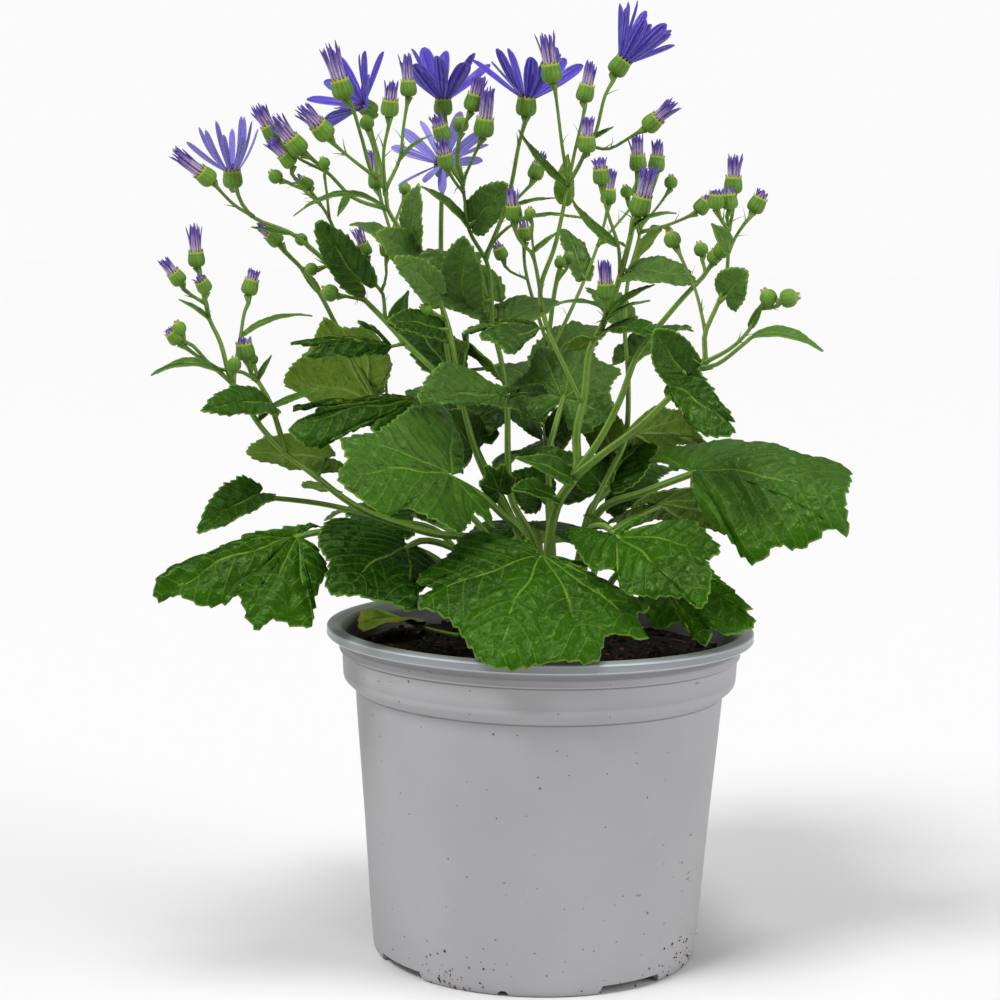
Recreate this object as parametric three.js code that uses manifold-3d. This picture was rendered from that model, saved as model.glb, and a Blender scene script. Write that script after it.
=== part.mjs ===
// A florist cineraria in growth in its own nursery pot.
// Millimetres, +Z up. The origin is the middle of the pot's foot, on the surface that it stands on,
// and the pot's front faces -Y.

import * as THREE from "three";
import { mergeVertices } from "three/addons/utils/BufferGeometryUtils.js";
import Module from "manifold-3d";

// pot: outer lip 190 across and 148 high, wall about 1.6 thick; under the raised floor a small centre pad
// reaches down level with the foot ring
const potSegments = 28;
const potProfile = [
  [0, 6], [66, 6], [68, 0], [71, 0], [72.4, 2.5], [82.2, 119], [87.5, 124.5],
  [88, 136], [88.8, 140.2], [94, 142.9], [95, 143.8], [95, 146.6], [94.2, 147.4], [90.2, 148],
  [86.9, 142.6], [85.8, 126], [80.8, 121], [71.2, 8], [0, 8],
];
const floorTop = 8;
const padRadius = 7;
const padSides = 9;
const footNotches = 4;
const footNotchAngle = THREE.MathUtils.degToRad(36);
const footArchAngle = THREE.MathUtils.degToRad(-10);
const notchFootWidth = 36;
const notchTopWidth = 30;
const notchHeight = 4;
const footArchRadius = 2.5;
const footRingInner = 58;
const cutterDepth = 22;
const drainRadius = 4;
const drainSides = 6;
const drainCircle = 44;

// potting soil: rings of [radius, height, roughness] from the floor up to the crumbly top
const soilSegments = 18;
const soilSeed = 4711;
const soilProfile = [
  [68.6, 9.6, 0], [79.8, 121.2, 0], [84.6, 126.5, 0], [85.2, 134.4, 0],
  [62, 135.6, 2.4], [30, 136.7, 1],
];
const rootGap = 0.3;
const holeDepth = 24;
const holeSides = 5;

// stems
const thickStem = 1.2;
const thickStep = 34;
const thinStep = 34;
const rootDepth = 3;
const longestRoot = 0.4;
const rootSink = 0.12;
const stalkRadius = 0.8;
const stalkSwell = 1.2;
const shortestStalk = 3.5;

// plain leaves: half outlines from the tip round to the stalk as [angle in degrees, share of the length]
const halfOutlines = {
  lobed: [
    [0, 1], [20, 0.76], [43, 0.94], [66, 0.68],
    [92, 0.85], [110, 0.66], [130, 0.58], [152, 0.24],
  ],
  oval: [[0, 1], [17, 0.78], [40, 0.52], [85, 0.32], [150, 0.12]],
};
const plainWidths = { lobed: 1.7, oval: 0.68 };
const foldHeights = { lobed: 0.04, oval: 0.12, own: 0.04 };
const waveHeight = 0.02;
const waveCount = 6;
const lanceStations = [[0.2, 0.8], [0.6, 1]];
const lanceFold = 0.12;
const innerRing = 0.55;
const bladeThickness = 0.7;

// cups, buds and closed heads on the twig ends: [share of the radius, height as a share of the radius]
const endForms = {
  cup: [[0.45, -0.95], [1, -0.15], [0.84, 0.9]],
  bud: [[0.5, -0.9], [1, 0], [0.45, 0.85]],
  tip: [[0.45, -0.95], [1, -0.15], [0.84, 0.9]],
};
const smallEnd = 3.3;
const closedHead = [[0.6, 0.7], [0.3, 1]];

// blooms
const cupTop = 0.9;
const headGap = 0.3;
const headTilt = new THREE.Vector3(0, 1, 0.3);
const seedScale = 100;
const quillCount = 7;
const quillFoot = 0.62;
const quillWaist = 0.58;
const quillSplit = 0.38;
const quillCore = 0.3;
const quillReach = [0.84, 1.02];
const quillFlare = [0.7, 1.05];
const discRise = 1.4;
const discShare = 0.78;
const openKinds = { open: { rays: 12, spread: 56 }, half: { rays: 12, spread: 30 } };
const raySpread = [0.82, 1.18];
const rayReach = [0.88, 1.12];
const rayRoot = 0.9;
const rayWidths = { f1: 4, f2: 6.2, f3: 6.4, f4: 4.6, f5: 5.4, f6: 5.4 };
const rayWidest = 0.62;
const rayBend = 0.1;
const rayMiddleBend = 0.04;

// the dropped old leaf
const oldStalkRadius = 0.8;
const oldLeafStalk = [[-36, 10, 139.5], [-50, 24, 139.6], [-62, 36, 141]];
const oldLeafBlade = ["oval", [-62, 36, 141], [-80, 4, 142.5], 24, 10, 0, 3, 0];

const mergeDistance = 1e-4;

function matte(color, roughness) {
  return new THREE.MeshStandardMaterial({ color, roughness, metalness: 0 });
}

const potGrey = matte(0xa9a8ac, 0.55);
const soilBrown = matte(0x2a1d14, 0.95);
const stemGreen = matte(0x5f8f3a, 0.6);
const leafGreen = matte(0x2f7a1e, 0.5);
const quillViolet = matte(0x5b46b8, 0.6);
const rayViolet = matte(0x6a5ae0, 0.6);
const oldLeafYellow = matte(0x8f9a35, 0.7);

const group = new THREE.Group();

// ---------------------------------------------------------------- the plant
// stems: [start radius, end radius, points...]
// leaves: [form, base, tip, width, lean to the front in degrees, lean to +X in degrees, arch, bow]
// buds: [radius, centre, point it faces]; heads: [name, kind, centre of the green cup, ray tip, cup radius]
// leaves with an outline of their own, from +180 round to -180: [angle in degrees, share of the length]
const ownOutlines = {
  "dark": [
    [42, 0.14], [29, 0.3], [18, 0.57], [13, 0.79], [9, 0.93], [4, 0.73], [0, 1],
    [-1, 0.91], [-3, 0.53], [-17, 0.08], [-35, 0.37], [-52, 0.14], [-53, 0.27],
  ],
  "mid": [
    [41, 0.1], [37, 0.24], [35, 0.41], [30, 0.51], [16, 0.49], [13, 0.89], [8, 0.99],
    [0, 1], [-7, 0.58], [-7, 0.98], [-8, 0.38], [-13, 0.18], [-38, 0.04],
  ],
  "arched": [
    [160, 0.5], [18, 0.36], [10, 0.62], [5, 0.79], [0, 0.99], [-7, 0.92], [-18, 0.81],
    [-31, 0.69], [-39, 0.51], [-43, 0.34], [-53, 0.2], [-137, 0.16], [-160, 0.5],
  ],
  "saddle": [
    [36, 0.22], [31, 0.58], [29, 0.82], [22, 0.84], [14, 0.8], [5, 0.86], [0, 0.47],
    [0, 1], [-2, 0.74], [-2, 0.89], [-61, 0.07],
  ],
  "droop": [
    [77, 0.2], [60, 0.48], [59, 0.35], [16, 0.6], [5, 0.92], [3, 0.82], [0, 1],
    [-15, 0.89], [-21, 0.69], [-22, 0.45], [-51, 0.15],
  ],
  "pale": [
    [133, 0.23], [120, 0.73], [109, 0.9], [94, 0.91], [73, 0.84], [63, 0.93], [33, 0.78],
    [17, 0.86], [0, 1], [-12, 0.91], [-23, 0.77], [-29, 0.57], [-53, 0.14],
  ],
  "front": [
    [102, 0.6], [92, 0.11], [79, 0.71], [69, 0.7], [60, 0.88], [46, 0.76], [37, 0.9],
    [18, 0.89], [0, 1], [-21, 0.82], [-38, 0.86], [-43, 0.72], [-50, 0.79], [-66, 0.55],
    [-100, 0.48], [-131, 0.15], [-137, 0.39],
  ],
  "midleft": [
    [151, 0.33], [121, 0.48], [101, 0.34], [71, 0.57], [49, 0.6], [28, 0.67], [26, 0.88],
    [12, 0.95], [0, 1], [-8, 0.89], [-22, 0.89], [-33, 0.64], [-67, 0.59], [-100, 0.76],
    [-119, 0.94], [-129, 0.69], [-163, 0.17],
  ],
  "right": [
    [168, 0.12], [146, 0.5], [110, 0.42], [75, 0.42], [50, 0.52], [33, 0.62], [22, 0.92],
    [12, 0.96], [-1, 0.98], [-11, 1.09], [-13, 0.99], [-24, 0.92], [-31, 0.82], [-42, 0.81],
    [-51, 0.5], [-61, 0.32], [-67, 0.1],
  ],
  "rightlow": [
    [175, 0.67], [169, 0.39], [166, 0.09], [91, 0.29], [70, 0.05], [54, 0.49], [41, 0.68],
    [28, 0.85], [19, 0.8], [15, 0.89], [0, 1.01], [-4, 0.85], [-21, 0.67], [-32, 0.6],
    [-39, 0.33], [-78, 0.34], [-170, 0.67],
  ],
  "rim": [
    [150, 0.1], [110, 0.45], [21, 0.5], [9, 0.68], [5, 0.91], [1, 0.89], [-1, 1.01],
    [-14, 0.97], [-17, 0.87], [-23, 0.96], [-26, 0.88], [-29, 0.7], [-44, 0.66], [-54, 0.41],
    [-150, 0.1],
  ],
  "farleft": [
    [128, 0.1], [101, 0.3], [74, 0.48], [70, 0.66], [50, 0.64], [43, 0.75], [25, 0.6],
    [23, 0.67], [14, 0.8], [3, 0.88], [0, 0.99], [-7, 0.93], [-8, 0.65], [-27, 0.21],
    [-168, 0.19],
  ],
  "leftdark": [
    [170, 0.17], [116, 0.25], [63, 0.5], [43, 0.65], [37, 0.85], [22, 0.83], [9, 0.88],
    [0, 0.99], [-9, 0.95], [-20, 0.78], [-42, 0.76], [-72, 0.67], [-91, 0.52], [-106, 0.33],
    [-141, 0.32],
  ],
};

const shoots = {
  "shoot_left": {
    "stems": [
      [2.2, 0.8, [-14, -4, 119], [-14, -4, 141], [-25, -10, 184], [-49, -18, 190], [-73, -24, 198],
        [-85, -28, 205], [-100, -31, 217], [-111, -31, 225], [-121, -33, 236], [-129, -33, 248],
        [-134, -32, 255], [-139, -31, 272], [-144, -30, 282], [-146, -29, 290], [-148, -28, 296],
        [-149, -27, 304]],
      [0.7, 0.6, [-146, -29, 288], [-152, -31, 292], [-156, -33, 296]],
      [0.7, 0.6, [-144, -30, 283], [-144, -37, 289], [-145, -38, 292]],
      [0.8, 0.7, [-133, -32, 254], [-133, -24, 265], [-132, -18, 275], [-131, -15, 284],
        [-129, -13, 290]],
      [0.8, 0.7, [-134, -32, 254], [-143, -36, 263], [-150, -39, 271], [-154, -40, 273]],
      [0.7, 0.6, [-133, -33, 256], [-133, -37, 260]],
      [1.3, 1, [-111, -31, 225], [-114, -27, 234], [-119, -24, 247], [-124, -23, 255]],
      [0.8, 0.7, [-124, -23, 255], [-130, -27, 259], [-140, -34, 261]],
      [0.8, 0.7, [-124, -23, 255], [-127, -24, 259], [-128, -26, 265]],
      [0.7, 0.6, [-123, -23, 255], [-125, -19, 257], [-126, -17, 261]],
    ],
    "leaves": [
      ["lance", [-142, -30, 281], [-156, -38, 290], 5, 30, 0, 1, 0],
      ["lance", [-137, -33, 255], [-166, -50, 258], 9, 30, 0, 7, 0],
      ["lance", [-131, -18, 273], [-102, -8, 283], 5, 25, 0, 4, 0],
      ["oval", [-117, -26, 246], [-142, -60, 244], 17, 55, 0, 3, 0],
      ["lance", [-116, -25, 245], [-92, -40, 255], 5, 45, 0, 0, 0],
      ["oval", [-93, -22, 222], [-132, 0, 221], 24, -50, 0, 1, 0],
      ["oval", [-90, -26, 209], [-106, -2, 207], 12, -40, 0, 0, 0],
    ],
    "buds": [
      [3, [-132, -38, 263], [-132, -38, 266]],
      [2.3, [-127, -16, 264], [-127, -15, 268]],
      [3, [-155, -41, 278], [-156, -42, 281]],
    ],
    "heads": [
      ["h23", "quill", [-150, -27, 307], [-151, -29, 322], 3.6],
      ["h24", "quill", [-157, -34, 299], [-163, -37, 307], 3.4],
      ["h26", "quill", [-129, -12, 295], [-127, -11, 303], 3.6],
      ["", "tip", [-145, -39, 296], [-147, -41, 300], 3.2],
      ["", "tip", [-129, -26, 268], [-130, -27, 274], 4],
      ["", "tip", [-157, -40, 274], [-160, -41, 278], 3.2],
    ],
  },
  "shoot_mid_left": {
    "stems": [
      [1.9, 0.7, [-6, -8, 119], [-6, -8, 141], [-7, -9, 186], [-19, -13, 204], [-29, -15, 224],
        [-36, -15, 248], [-39, -14, 264], [-43, -12, 281], [-51, -9, 300], [-59, -8, 311],
        [-65, -8, 322], [-70, -8, 330], [-71, -8, 338], [-77, -10, 346], [-81, -14, 360],
        [-86, -18, 375]],
      [0.8, 0.6, [-75, -10, 343], [-85, -22, 351], [-93, -28, 358]],
      [0.8, 0.6, [-71, -8, 338], [-71, -20, 354], [-68, -27, 368]],
      [0.8, 0.6, [-71, -8, 338], [-65, -4, 352], [-64, -2, 364], [-62, 0, 378]],
      [0.9, 0.7, [-71, -8, 336], [-75, 10, 351], [-80, 19, 369]],
      [0.9, 0.7, [-70, -8, 330], [-79, -6, 332], [-86, -6, 335], [-95, -8, 344], [-106, -12, 353]],
      [0.7, 0.6, [-97, -9, 345], [-109, -4, 351], [-118, -2, 358]],
      [0.7, 0.6, [-73, -9, 344], [-76, -2, 353], [-79, 0, 363]],
      [1.4, 0.8, [-36, -15, 251], [-49, -10, 261], [-63, -2, 273], [-71, 2, 281], [-83, 8, 292],
        [-97, 11, 305], [-113, 12, 318], [-130, 10, 325], [-136, 8, 332], [-138, 8, 338]],
      [0.8, 0.6, [-131, 10, 326], [-137, -10, 331], [-143, -23, 339]],
      [0.8, 0.6, [-84, 8, 293], [-89, 2, 307], [-94, -4, 322], [-99, -6, 331], [-107, -8, 338],
        [-112, -9, 346]],
      [0.6, 0.5, [-107, -8, 338], [-113, -6, 340], [-116, -5, 342]],
      [0.6, 0.5, [-99, -6, 331], [-103, -3, 336], [-105, -2, 337]],
      [0.6, 0.5, [-96, -5, 325], [-96, -10, 335], [-97, -12, 346]],
      [0.8, 0.7, [-71, 2, 281], [-73, 6, 294], [-77, 8, 297], [-80, 10, 308]],
      [0.6, 0.5, [-73, 6, 294], [-71, 4, 300], [-71, 2, 309]],
      [0.6, 0.5, [-80, 7, 290], [-86, 0, 291], [-91, -2, 292]],
      [0.6, 0.5, [-96, 11, 305], [-99, 5, 304], [-101, 4, 303]],
      [0.6, 0.5, [-102, 12, 310], [-106, 14, 312], [-108, 15, 314]],
      [0.6, 0.5, [-44, -12, 283], [-48, -16, 285], [-50, -17, 286]],
    ],
    "leaves": [
      ["lance", [-70, -8, 329], [-109, -24, 326], 6, 30, 0, 9, 0],
      ["lance", [-113, 12, 318], [-133, 20, 321], 6, 20, 0, 0, 0],
      ["oval", [-81, 0, 297], [-100, -14, 324], 17, 60, 0, -2, 0],
      ["oval", [-58, -11, 316], [-55, -24, 340], 15, 70, -50, 2, 0],
      ["oval", [-56, -10, 306], [-73, -22, 320], 17, 60, 0, 2, 0],
      ["oval", [-45, -12, 292], [-66, -26, 309], 15, 60, 0, 2, 0],
      ["lance", [-66, -3, 280], [-60, -12, 295], 10, 60, 0, 0, 0],
      ["dark", [-64, -4, 270], [-109, -34, 271], 54.1, 50, 0, 4, 0],
      ["oval", [-43, -13, 278], [-68, -30, 282], 14, 55, 0, 2, 0],
      ["lance", [-67, -4, 349], [-51, -8, 362], 3.5, 30, 0, 2, 0],
      ["mid", [-56, -6, 247], [-108, -34, 237], 59.9, 64, 0, 4, 3],
      ["lobed", [-19, -17, 209], [-25, -24, 221], 19, 60, 0, 1, 0],
    ],
    "buds": [
      [3.2, [-80, 1, 367], [-81, 1, 371]],
      [3.1, [-119, -5, 343], [-121, -5, 345]],
      [2.5, [-97, -13, 349], [-98, -13, 351]],
      [3.8, [-95, -3, 293], [-99, -4, 295]],
      [2.9, [-104, 3, 303], [-107, 2, 303]],
      [2.8, [-110, 16, 316], [-113, 17, 318]],
      [2.7, [-52, -18, 287], [-55, -19, 289]],
    ],
    "heads": [
      ["h2", "quill", [-89, -19, 380], [-95, -22, 399], 4.6],
      ["h5", "quill", [-96, -30, 362], [-105, -36, 372], 4.4],
      ["h7", "quill", [-68, -28, 372], [-67, -30, 383], 3.8],
      ["h6", "quill", [-62, 0, 382], [-63, 0, 397], 3.6],
      ["f2", "open", [-81, 20, 374], [-98, 10, 386], 4],
      ["h3", "quill", [-109, -13, 356], [-119, -16, 368], 4.4],
      ["h3b", "quill", [-121, -2, 362], [-128, -4, 374], 4],
      ["f1", "open", [-140, 11, 342], [-141, 7, 364], 4.3],
      ["h1", "quill", [-146, -26, 342], [-159, -33, 352], 4],
      ["h4", "quill", [-113, -10, 350], [-121, -12, 359], 3.4],
      ["", "tip", [-106, -1, 340], [-111, 0, 343], 3],
      ["", "tip", [-81, 10, 312], [-85, 10, 322], 3],
      ["", "tip", [-71, 1, 312], [-72, 1, 316], 2.8],
    ],
  },
  "shoot_centre": {
    "stems": [
      [2.1, 0.6, [0, 2, 119], [0, 2, 141], [-3, 5, 182], [-14, 10, 202], [-16, 13, 219],
        [-17, 14, 246], [-20, 16, 264], [-24, 18, 279], [-25, 18, 294], [-27, 18, 307],
        [-35, 15, 321], [-37, 13, 333], [-38, 12, 342], [-35, 9, 350], [-30, 6, 361]],
      [0.8, 0.6, [-38, 12, 342], [-41, 12, 351], [-40, 11, 362], [-35, 10, 373]],
      [0.7, 0.6, [-37, 12, 338], [-41, 0, 342], [-44, -7, 347]],
      [0.7, 0.6, [-38, 12, 341], [-44, 2, 350], [-46, -2, 359]],
      [0.8, 0.7, [-38, 12, 341], [-46, 36, 357], [-48, 43, 374]],
      [0.7, 0.6, [-38, 12, 342], [-41, 24, 357], [-40, 24, 364]],
      [1.1, 0.8, [-28, 18, 309], [-21, 22, 327], [-17, 26, 342], [-14, 30, 360], [-11, 31, 372]],
      [0.7, 0.6, [-21, 22, 326], [-14, 27, 336], [-7, 33, 344]],
    ],
    "leaves": [
      ["lance", [-36, 15, 321], [-56, -6, 340], 11, 40, 0, 2, 0],
      ["oval", [-35, 16, 323], [-18, 0, 342], 17, 60, 10, 0, 0],
      ["oval", [-37, 17, 290], [-37, 2, 319], 20, 62, -10, 2, 0],
      ["arched", [-19, -14, 250], [-54, -42, 249], 44.8, 60, 0, 3, 0],
      ["oval", [-37, 15, 258], [-38, 34, 274], 20, -50, 0, 1, 0],
      ["lance", [-20, 22, 329], [3, 8, 336], 5, 30, 0, 2, 0],
      ["lance", [-26, 19, 312], [15, -22, 327], 6, 30, 0, 8, 0],
      ["oval", [-19, 15, 255], [-49, 34, 272], 20, -30, 0, 2, 0],
      ["oval", [-22, 21, 277], [5, 40, 290], 26, 20, 0, 3, 0],
      ["oval", [-26, 26, 290], [-68, 25, 308], 27, 55, 0, 3, 0],
      ["oval", [-16, 6, 248], [2, -20, 251], 12, 40, 0, 2, 0],
    ],
    "buds": [
      [3.6, [-40, 24, 368], [-41, 24, 373]],
    ],
    "heads": [
      ["h9", "quill", [-29, 5, 366], [-27, 3, 384], 4.4],
      ["h8", "quill", [-34, 10, 377], [-31, 9, 389], 4],
      ["h33", "quill", [-45, -10, 351], [-47, -13, 360], 3.6],
      ["h33b", "quill", [-47, -2, 363], [-50, -4, 371], 3.8],
      ["f3", "open", [-49, 46, 377], [-49, 42, 404], 4.2],
      ["f5", "open", [-11, 32, 377], [-10, 28, 404], 4.6],
      ["h34", "quill", [-6, 34, 348], [-3, 36, 357], 3.6],
    ],
  },
  "shoot_right": {
    "stems": [
      [2.8, 1.1, [6, -8, 119], [6, -8, 141], [3, -12, 185], [7, -16, 205], [14, -18, 217],
        [14, -17, 236], [17, -16, 251], [19, -15, 271], [24, -14, 281], [29, -16, 295],
        [32, -18, 306], [35, -20, 319], [37, -22, 329]],
      [0.8, 0.6, [32, -18, 303], [30, -22, 316], [26, -25, 327], [22, -26, 341]],
      [0.6, 0.5, [24, -15, 282], [25, -26, 288], [26, -30, 293]],
      [1.3, 0.6, [16, -16, 248], [7, -13, 266], [0, -8, 281], [-3, -4, 296], [3, 0, 315], [7, 3, 335],
        [8, 4, 341], [5, -2, 360], [1, -7, 385]],
      [0.8, 0.6, [8, 4, 341], [11, 8, 357], [15, 12, 378]],
      [0.7, 0.6, [8, 4, 341], [13, -3, 350], [15, -8, 355]],
      [0.9, 0.7, [8, 4, 341], [14, 14, 353], [20, 20, 365], [24, 25, 382], [28, 28, 390]],
      [0.7, 0.6, [18, 18, 359], [26, 10, 358], [35, 4, 363], [40, 2, 366]],
      [0.9, 0.7, [-1, -7, 287], [-4, -12, 301], [-7, -14, 312], [-12, -15, 317], [-15, -16, 325]],
      [0.5, 0.5, [-6, -13, 308], [-7, -18, 320], [-7, -19, 327]],
      [1.7, 0.9, [14, -18, 217], [24, -24, 233], [32, -28, 250], [39, -30, 270], [46, -31, 280],
        [57, -33, 294], [66, -34, 304], [69, -35, 309]],
      [0.6, 0.5, [67, -34, 305], [66, -30, 309], [65, -29, 312]],
      [0.6, 0.5, [68, -34, 307], [71, -37, 310], [72, -38, 312]],
      [1.8, 0.6, [14, -18, 216], [24, -27, 226], [41, -40, 241], [52, -47, 253], [60, -50, 261],
        [66, -51, 268], [66, -50, 280], [70, -49, 290], [74, -48, 301], [75, -47, 315],
        [75, -46, 324], [74, -46, 331]],
      [0.7, 0.6, [75, -46, 323], [71, -50, 328], [70, -51, 331]],
      [0.7, 0.6, [75, -46, 323], [77, -41, 332], [77, -39, 338]],
      [0.7, 0.6, [75, -47, 314], [79, -43, 322], [85, -40, 330]],
      [0.7, 0.6, [66, -50, 281], [62, -45, 298], [58, -43, 307], [54, -42, 315]],
      [0.9, 0.7, [66, -51, 268], [77, -55, 275], [84, -58, 283], [89, -60, 293]],
      [0.6, 0.5, [89, -60, 291], [93, -61, 292], [96, -62, 294]],
      [0.9, 0.8, [65, -51, 266], [71, -56, 268], [80, -64, 276], [84, -67, 280]],
    ],
    "leaves": [
      ["lance", [8, 4, 341], [-14, -8, 365], 6, 40, 0, -2, 0],
      ["lance", [7, 4, 333], [8, 18, 356], 11, -40, 0, 0, 0],
      ["lance", [30, -22, 316], [9, -36, 336], 6, 50, 0, -3, 0],
      ["lance", [36, -21, 321], [54, -34, 330], 6, 30, 0, 3, 0],
      ["oval", [36, -17, 305], [63, -38, 300], 17, 45, 0, 3, 0],
      ["lance", [25, -14, 285], [46, -30, 300], 7, 40, 0, 2, 0],
      ["lance", [23, -14, 283], [44, -34, 293], 6, 30, 0, 2, 0],
      ["lance", [26, -15, 287], [4, -34, 291], 5, 30, 0, 3, 0],
      ["saddle", [0, -9, 280], [-36, -40, 277], 47.6, 45, 0, 4, 0],
      ["oval", [5, -21, 207], [-13, -36, 212], 13, 40, 0, 2, 0],
      ["oval", [12, -12, 220], [-11, -3, 223], 12, 50, 0, 2, 0],
      ["oval", [22, -15, 278], [49, -46, 278], 13, 35, 0, 4, 0],
      ["lance", [22, -14, 274], [9, 6, 269], 11, -50, 0, 0, 0],
      ["oval", [73, -48, 293], [82, -58, 307], 17, 55, 0, 1, 0],
      ["droop", [51, -50, 259], [77, -78, 242], 41.8, 60, 0, 4, 3],
      ["oval", [60, -51, 261], [45, -60, 282], 19, 65, 0, -2, 0],
      ["lance", [83, -67, 280], [112, -80, 275], 10, 30, 0, 5, 0],
      ["lance", [10, -17, 216], [-12, -42, 226], 14, 55, 0, 2, 0],
    ],
    "buds": [
      [2.5, [-8, -19, 329], [-8, -20, 332]],
      [3.1, [70, -36, 312], [70, -36, 315]],
      [3.1, [65, -28, 315], [64, -28, 318]],
      [3.5, [73, -39, 315], [75, -40, 319]],
      [3.6, [52, -41, 319], [50, -41, 323]],
      [3.6, [91, -60, 296], [89, -60, 299]],
      [3.9, [99, -63, 296], [103, -64, 297]],
    ],
    "heads": [
      ["h17", "quill", [39, -23, 333], [43, -26, 350], 4.6],
      ["h13", "quill", [22, -26, 345], [21, -27, 353], 3.6],
      ["h32", "quill", [25, -31, 297], [24, -34, 310], 3.8],
      ["h10", "quill", [0, -8, 389], [-3, -10, 406], 4.4],
      ["h11", "quill", [15, 13, 382], [18, 14, 396], 3.9],
      ["h12", "quill", [16, -9, 359], [16, -10, 371], 3.8],
      ["f6", "half", [30, 29, 395], [44, 26, 415], 4.4],
      ["h14", "quill", [44, 0, 369], [54, -4, 378], 4],
      ["", "tip", [-15, -16, 329], [-16, -17, 340], 3.6],
      ["", "tip", [75, -46, 335], [74, -46, 341], 3.4],
      ["", "tip", [69, -52, 335], [69, -53, 340], 3.4],
      ["h18", "quill", [77, -38, 342], [77, -39, 355], 3.8],
      ["h22", "quill", [87, -38, 334], [90, -38, 340], 3.6],
    ],
  },
  "shoot_inner_left": {
    "stems": [
      [1.7, 0.9, [-11, 8, 119], [-11, 8, 141], [-22, 14, 181], [-47, 24, 206], [-66, 30, 228],
        [-76, 31, 243], [-89, 30, 266], [-95, 29, 277], [-103, 28, 292], [-111, 27, 303],
        [-119, 26, 311]],
      [0.7, 0.6, [-71, 31, 235], [-72, 27, 249], [-73, 25, 262]],
      [1.2, 1.2, [-69, 31, 233], [-73, 36, 238], [-74, 40, 242]],
    ],
    "leaves": [
      ["pale", [-76, 38, 242], [-122, 56, 250], 50, -50, 0, 3, 0],
      ["lance", [-103, 28, 292], [-114, 34, 306], 5, 20, 0, 0, 0],
      ["oval", [-63, 30, 225], [-88, 75, 207], 22, -10, -20, 4, 0],
    ],
    "buds": [
      [2.8, [-74, 25, 266], [-74, 25, 270]],
    ],
    "heads": [
      ["h27", "quill", [-123, 26, 316], [-131, 26, 323], 3.6],
    ],
  },
  "shoot_back_right": {
    "stems": [
      [1.9, 0.6, [14, 3, 119], [14, 3, 141], [21, 20, 192], [30, 30, 212], [37, 36, 227],
        [38, 40, 255], [36, 43, 277], [37, 46, 300], [42, 46, 323], [40, 42, 336], [40, 40, 349]],
      [0.7, 0.6, [42, 46, 323], [46, 50, 337], [49, 51, 348]],
      [0.8, 0.6, [42, 46, 322], [56, 48, 326], [67, 48, 331]],
      [0.6, 0.5, [42, 46, 321], [38, 40, 330], [35, 38, 337]],
      [0.6, 0.5, [42, 46, 324], [51, 54, 335], [55, 55, 341]],
    ],
    "leaves": [
      ["oval", [37, 46, 302], [53, 62, 323], 19, -35, 0, 2, 0],
      ["lobed", [39, 37, 230], [77, 62, 223], 44, -48, 0, 4, 0],
      ["oval", [37, 41, 264], [69, 90, 276], 20, 0, 0, 5, 0],
      ["oval", [34, 34, 221], [14, 46, 240], 24, -55, 0, 3, 0],
      ["oval", [29, 30, 207], [50, 62, 225], 26, 10, 10, 4, 0],
      ["oval", [28, 28, 206], [14, 44, 217], 20, 48, 0, 2, 0],
      ["oval", [36, 43, 280], [20, 85, 294], 16, 0, 0, 4, 0],
      ["lance", [47, 47, 325], [60, 70, 319], 6, 0, 0, 3, 0],
    ],
    "buds": [
      [2.8, [35, 38, 340], [34, 38, 344]],
      [3.1, [56, 56, 345], [56, 56, 349]],
    ],
    "heads": [
      ["h15", "quill", [40, 40, 353], [39, 40, 366], 3.9],
      ["h16", "quill", [49, 52, 353], [50, 53, 364], 3.8],
      ["", "tip", [70, 48, 334], [74, 48, 339], 3.6],
    ],
  },
  "shoot_back_left": {
    "stems": [
      [1.8, 1, [-3, 14, 119], [-3, 14, 141], [-12, 30, 186], [-29, 48, 216], [-41, 58, 243],
        [-47, 64, 270], [-50, 68, 307], [-50, 70, 344]],
      [0.9, 0.7, [-47, 64, 275], [-68, 84, 302], [-78, 92, 328], [-82, 94, 340]],
      [0.7, 0.6, [-75, 90, 319], [-72, 104, 331], [-70, 108, 337]],
    ],
    "leaves": [
      ["oval", [-45, 61, 256], [-71, 105, 273], 24, 0, -15, 6, 0],
      ["oval", [-31, 46, 218], [-48, 36, 238], 25, 50, 0, 3, 0],
      ["oval", [-36, 54, 230], [-17, 66, 241], 22, 45, 0, 2, 0],
      ["oval", [-49, 65, 287], [-33, 99, 311], 18.5, 2, 0, 4, 0],
      ["oval", [-73, 89, 314], [-96, 105, 323], 12, 10, -10, 3, 0],
      ["oval", [-34, 53, 226], [-64, 120, 242], 34, -5, -10, 6, 0],
    ],
    "buds": [
      [3, [-70, 109, 341], [-70, 110, 345]],
    ],
    "heads": [
      ["f4", "open", [-50, 70, 350], [-52, 54, 367], 4.2],
      ["h40", "quill", [-83, 95, 344], [-85, 98, 359], 3.8],
    ],
  },
  "shoot_back": {
    "stems": [
      [1.8, 1, [6, 12, 119], [6, 12, 141], [3, 32, 190], [1, 56, 220], [0, 68, 252], [2, 76, 280],
        [4, 80, 296], [6, 80, 304]],
      [0.6, 0.5, [4, 80, 298], [9, 84, 304], [10, 85, 306]],
      [0.9, 0.7, [1, 73, 268], [-8, 78, 294], [-11, 78, 307], [-11, 78, 316]],
      [0.6, 0.5, [-10, 78, 299], [-18, 70, 303], [-21, 68, 307]],
      [1, 0.7, [1, 71, 261], [16, 100, 294], [25, 112, 318], [29, 116, 335]],
      [0.7, 0.6, [24, 111, 315], [37, 118, 330], [43, 120, 338]],
    ],
    "leaves": [
      ["oval", [0, 69, 257], [27, 120, 274], 24, 0, 15, 6, 0],
      ["oval", [1, 65, 243], [-27, 118, 253], 26, 0, -10, 6, 0],
      ["oval", [1, 58, 221], [-21, 92, 205], 26, 10, -10, 4, 0],
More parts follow.
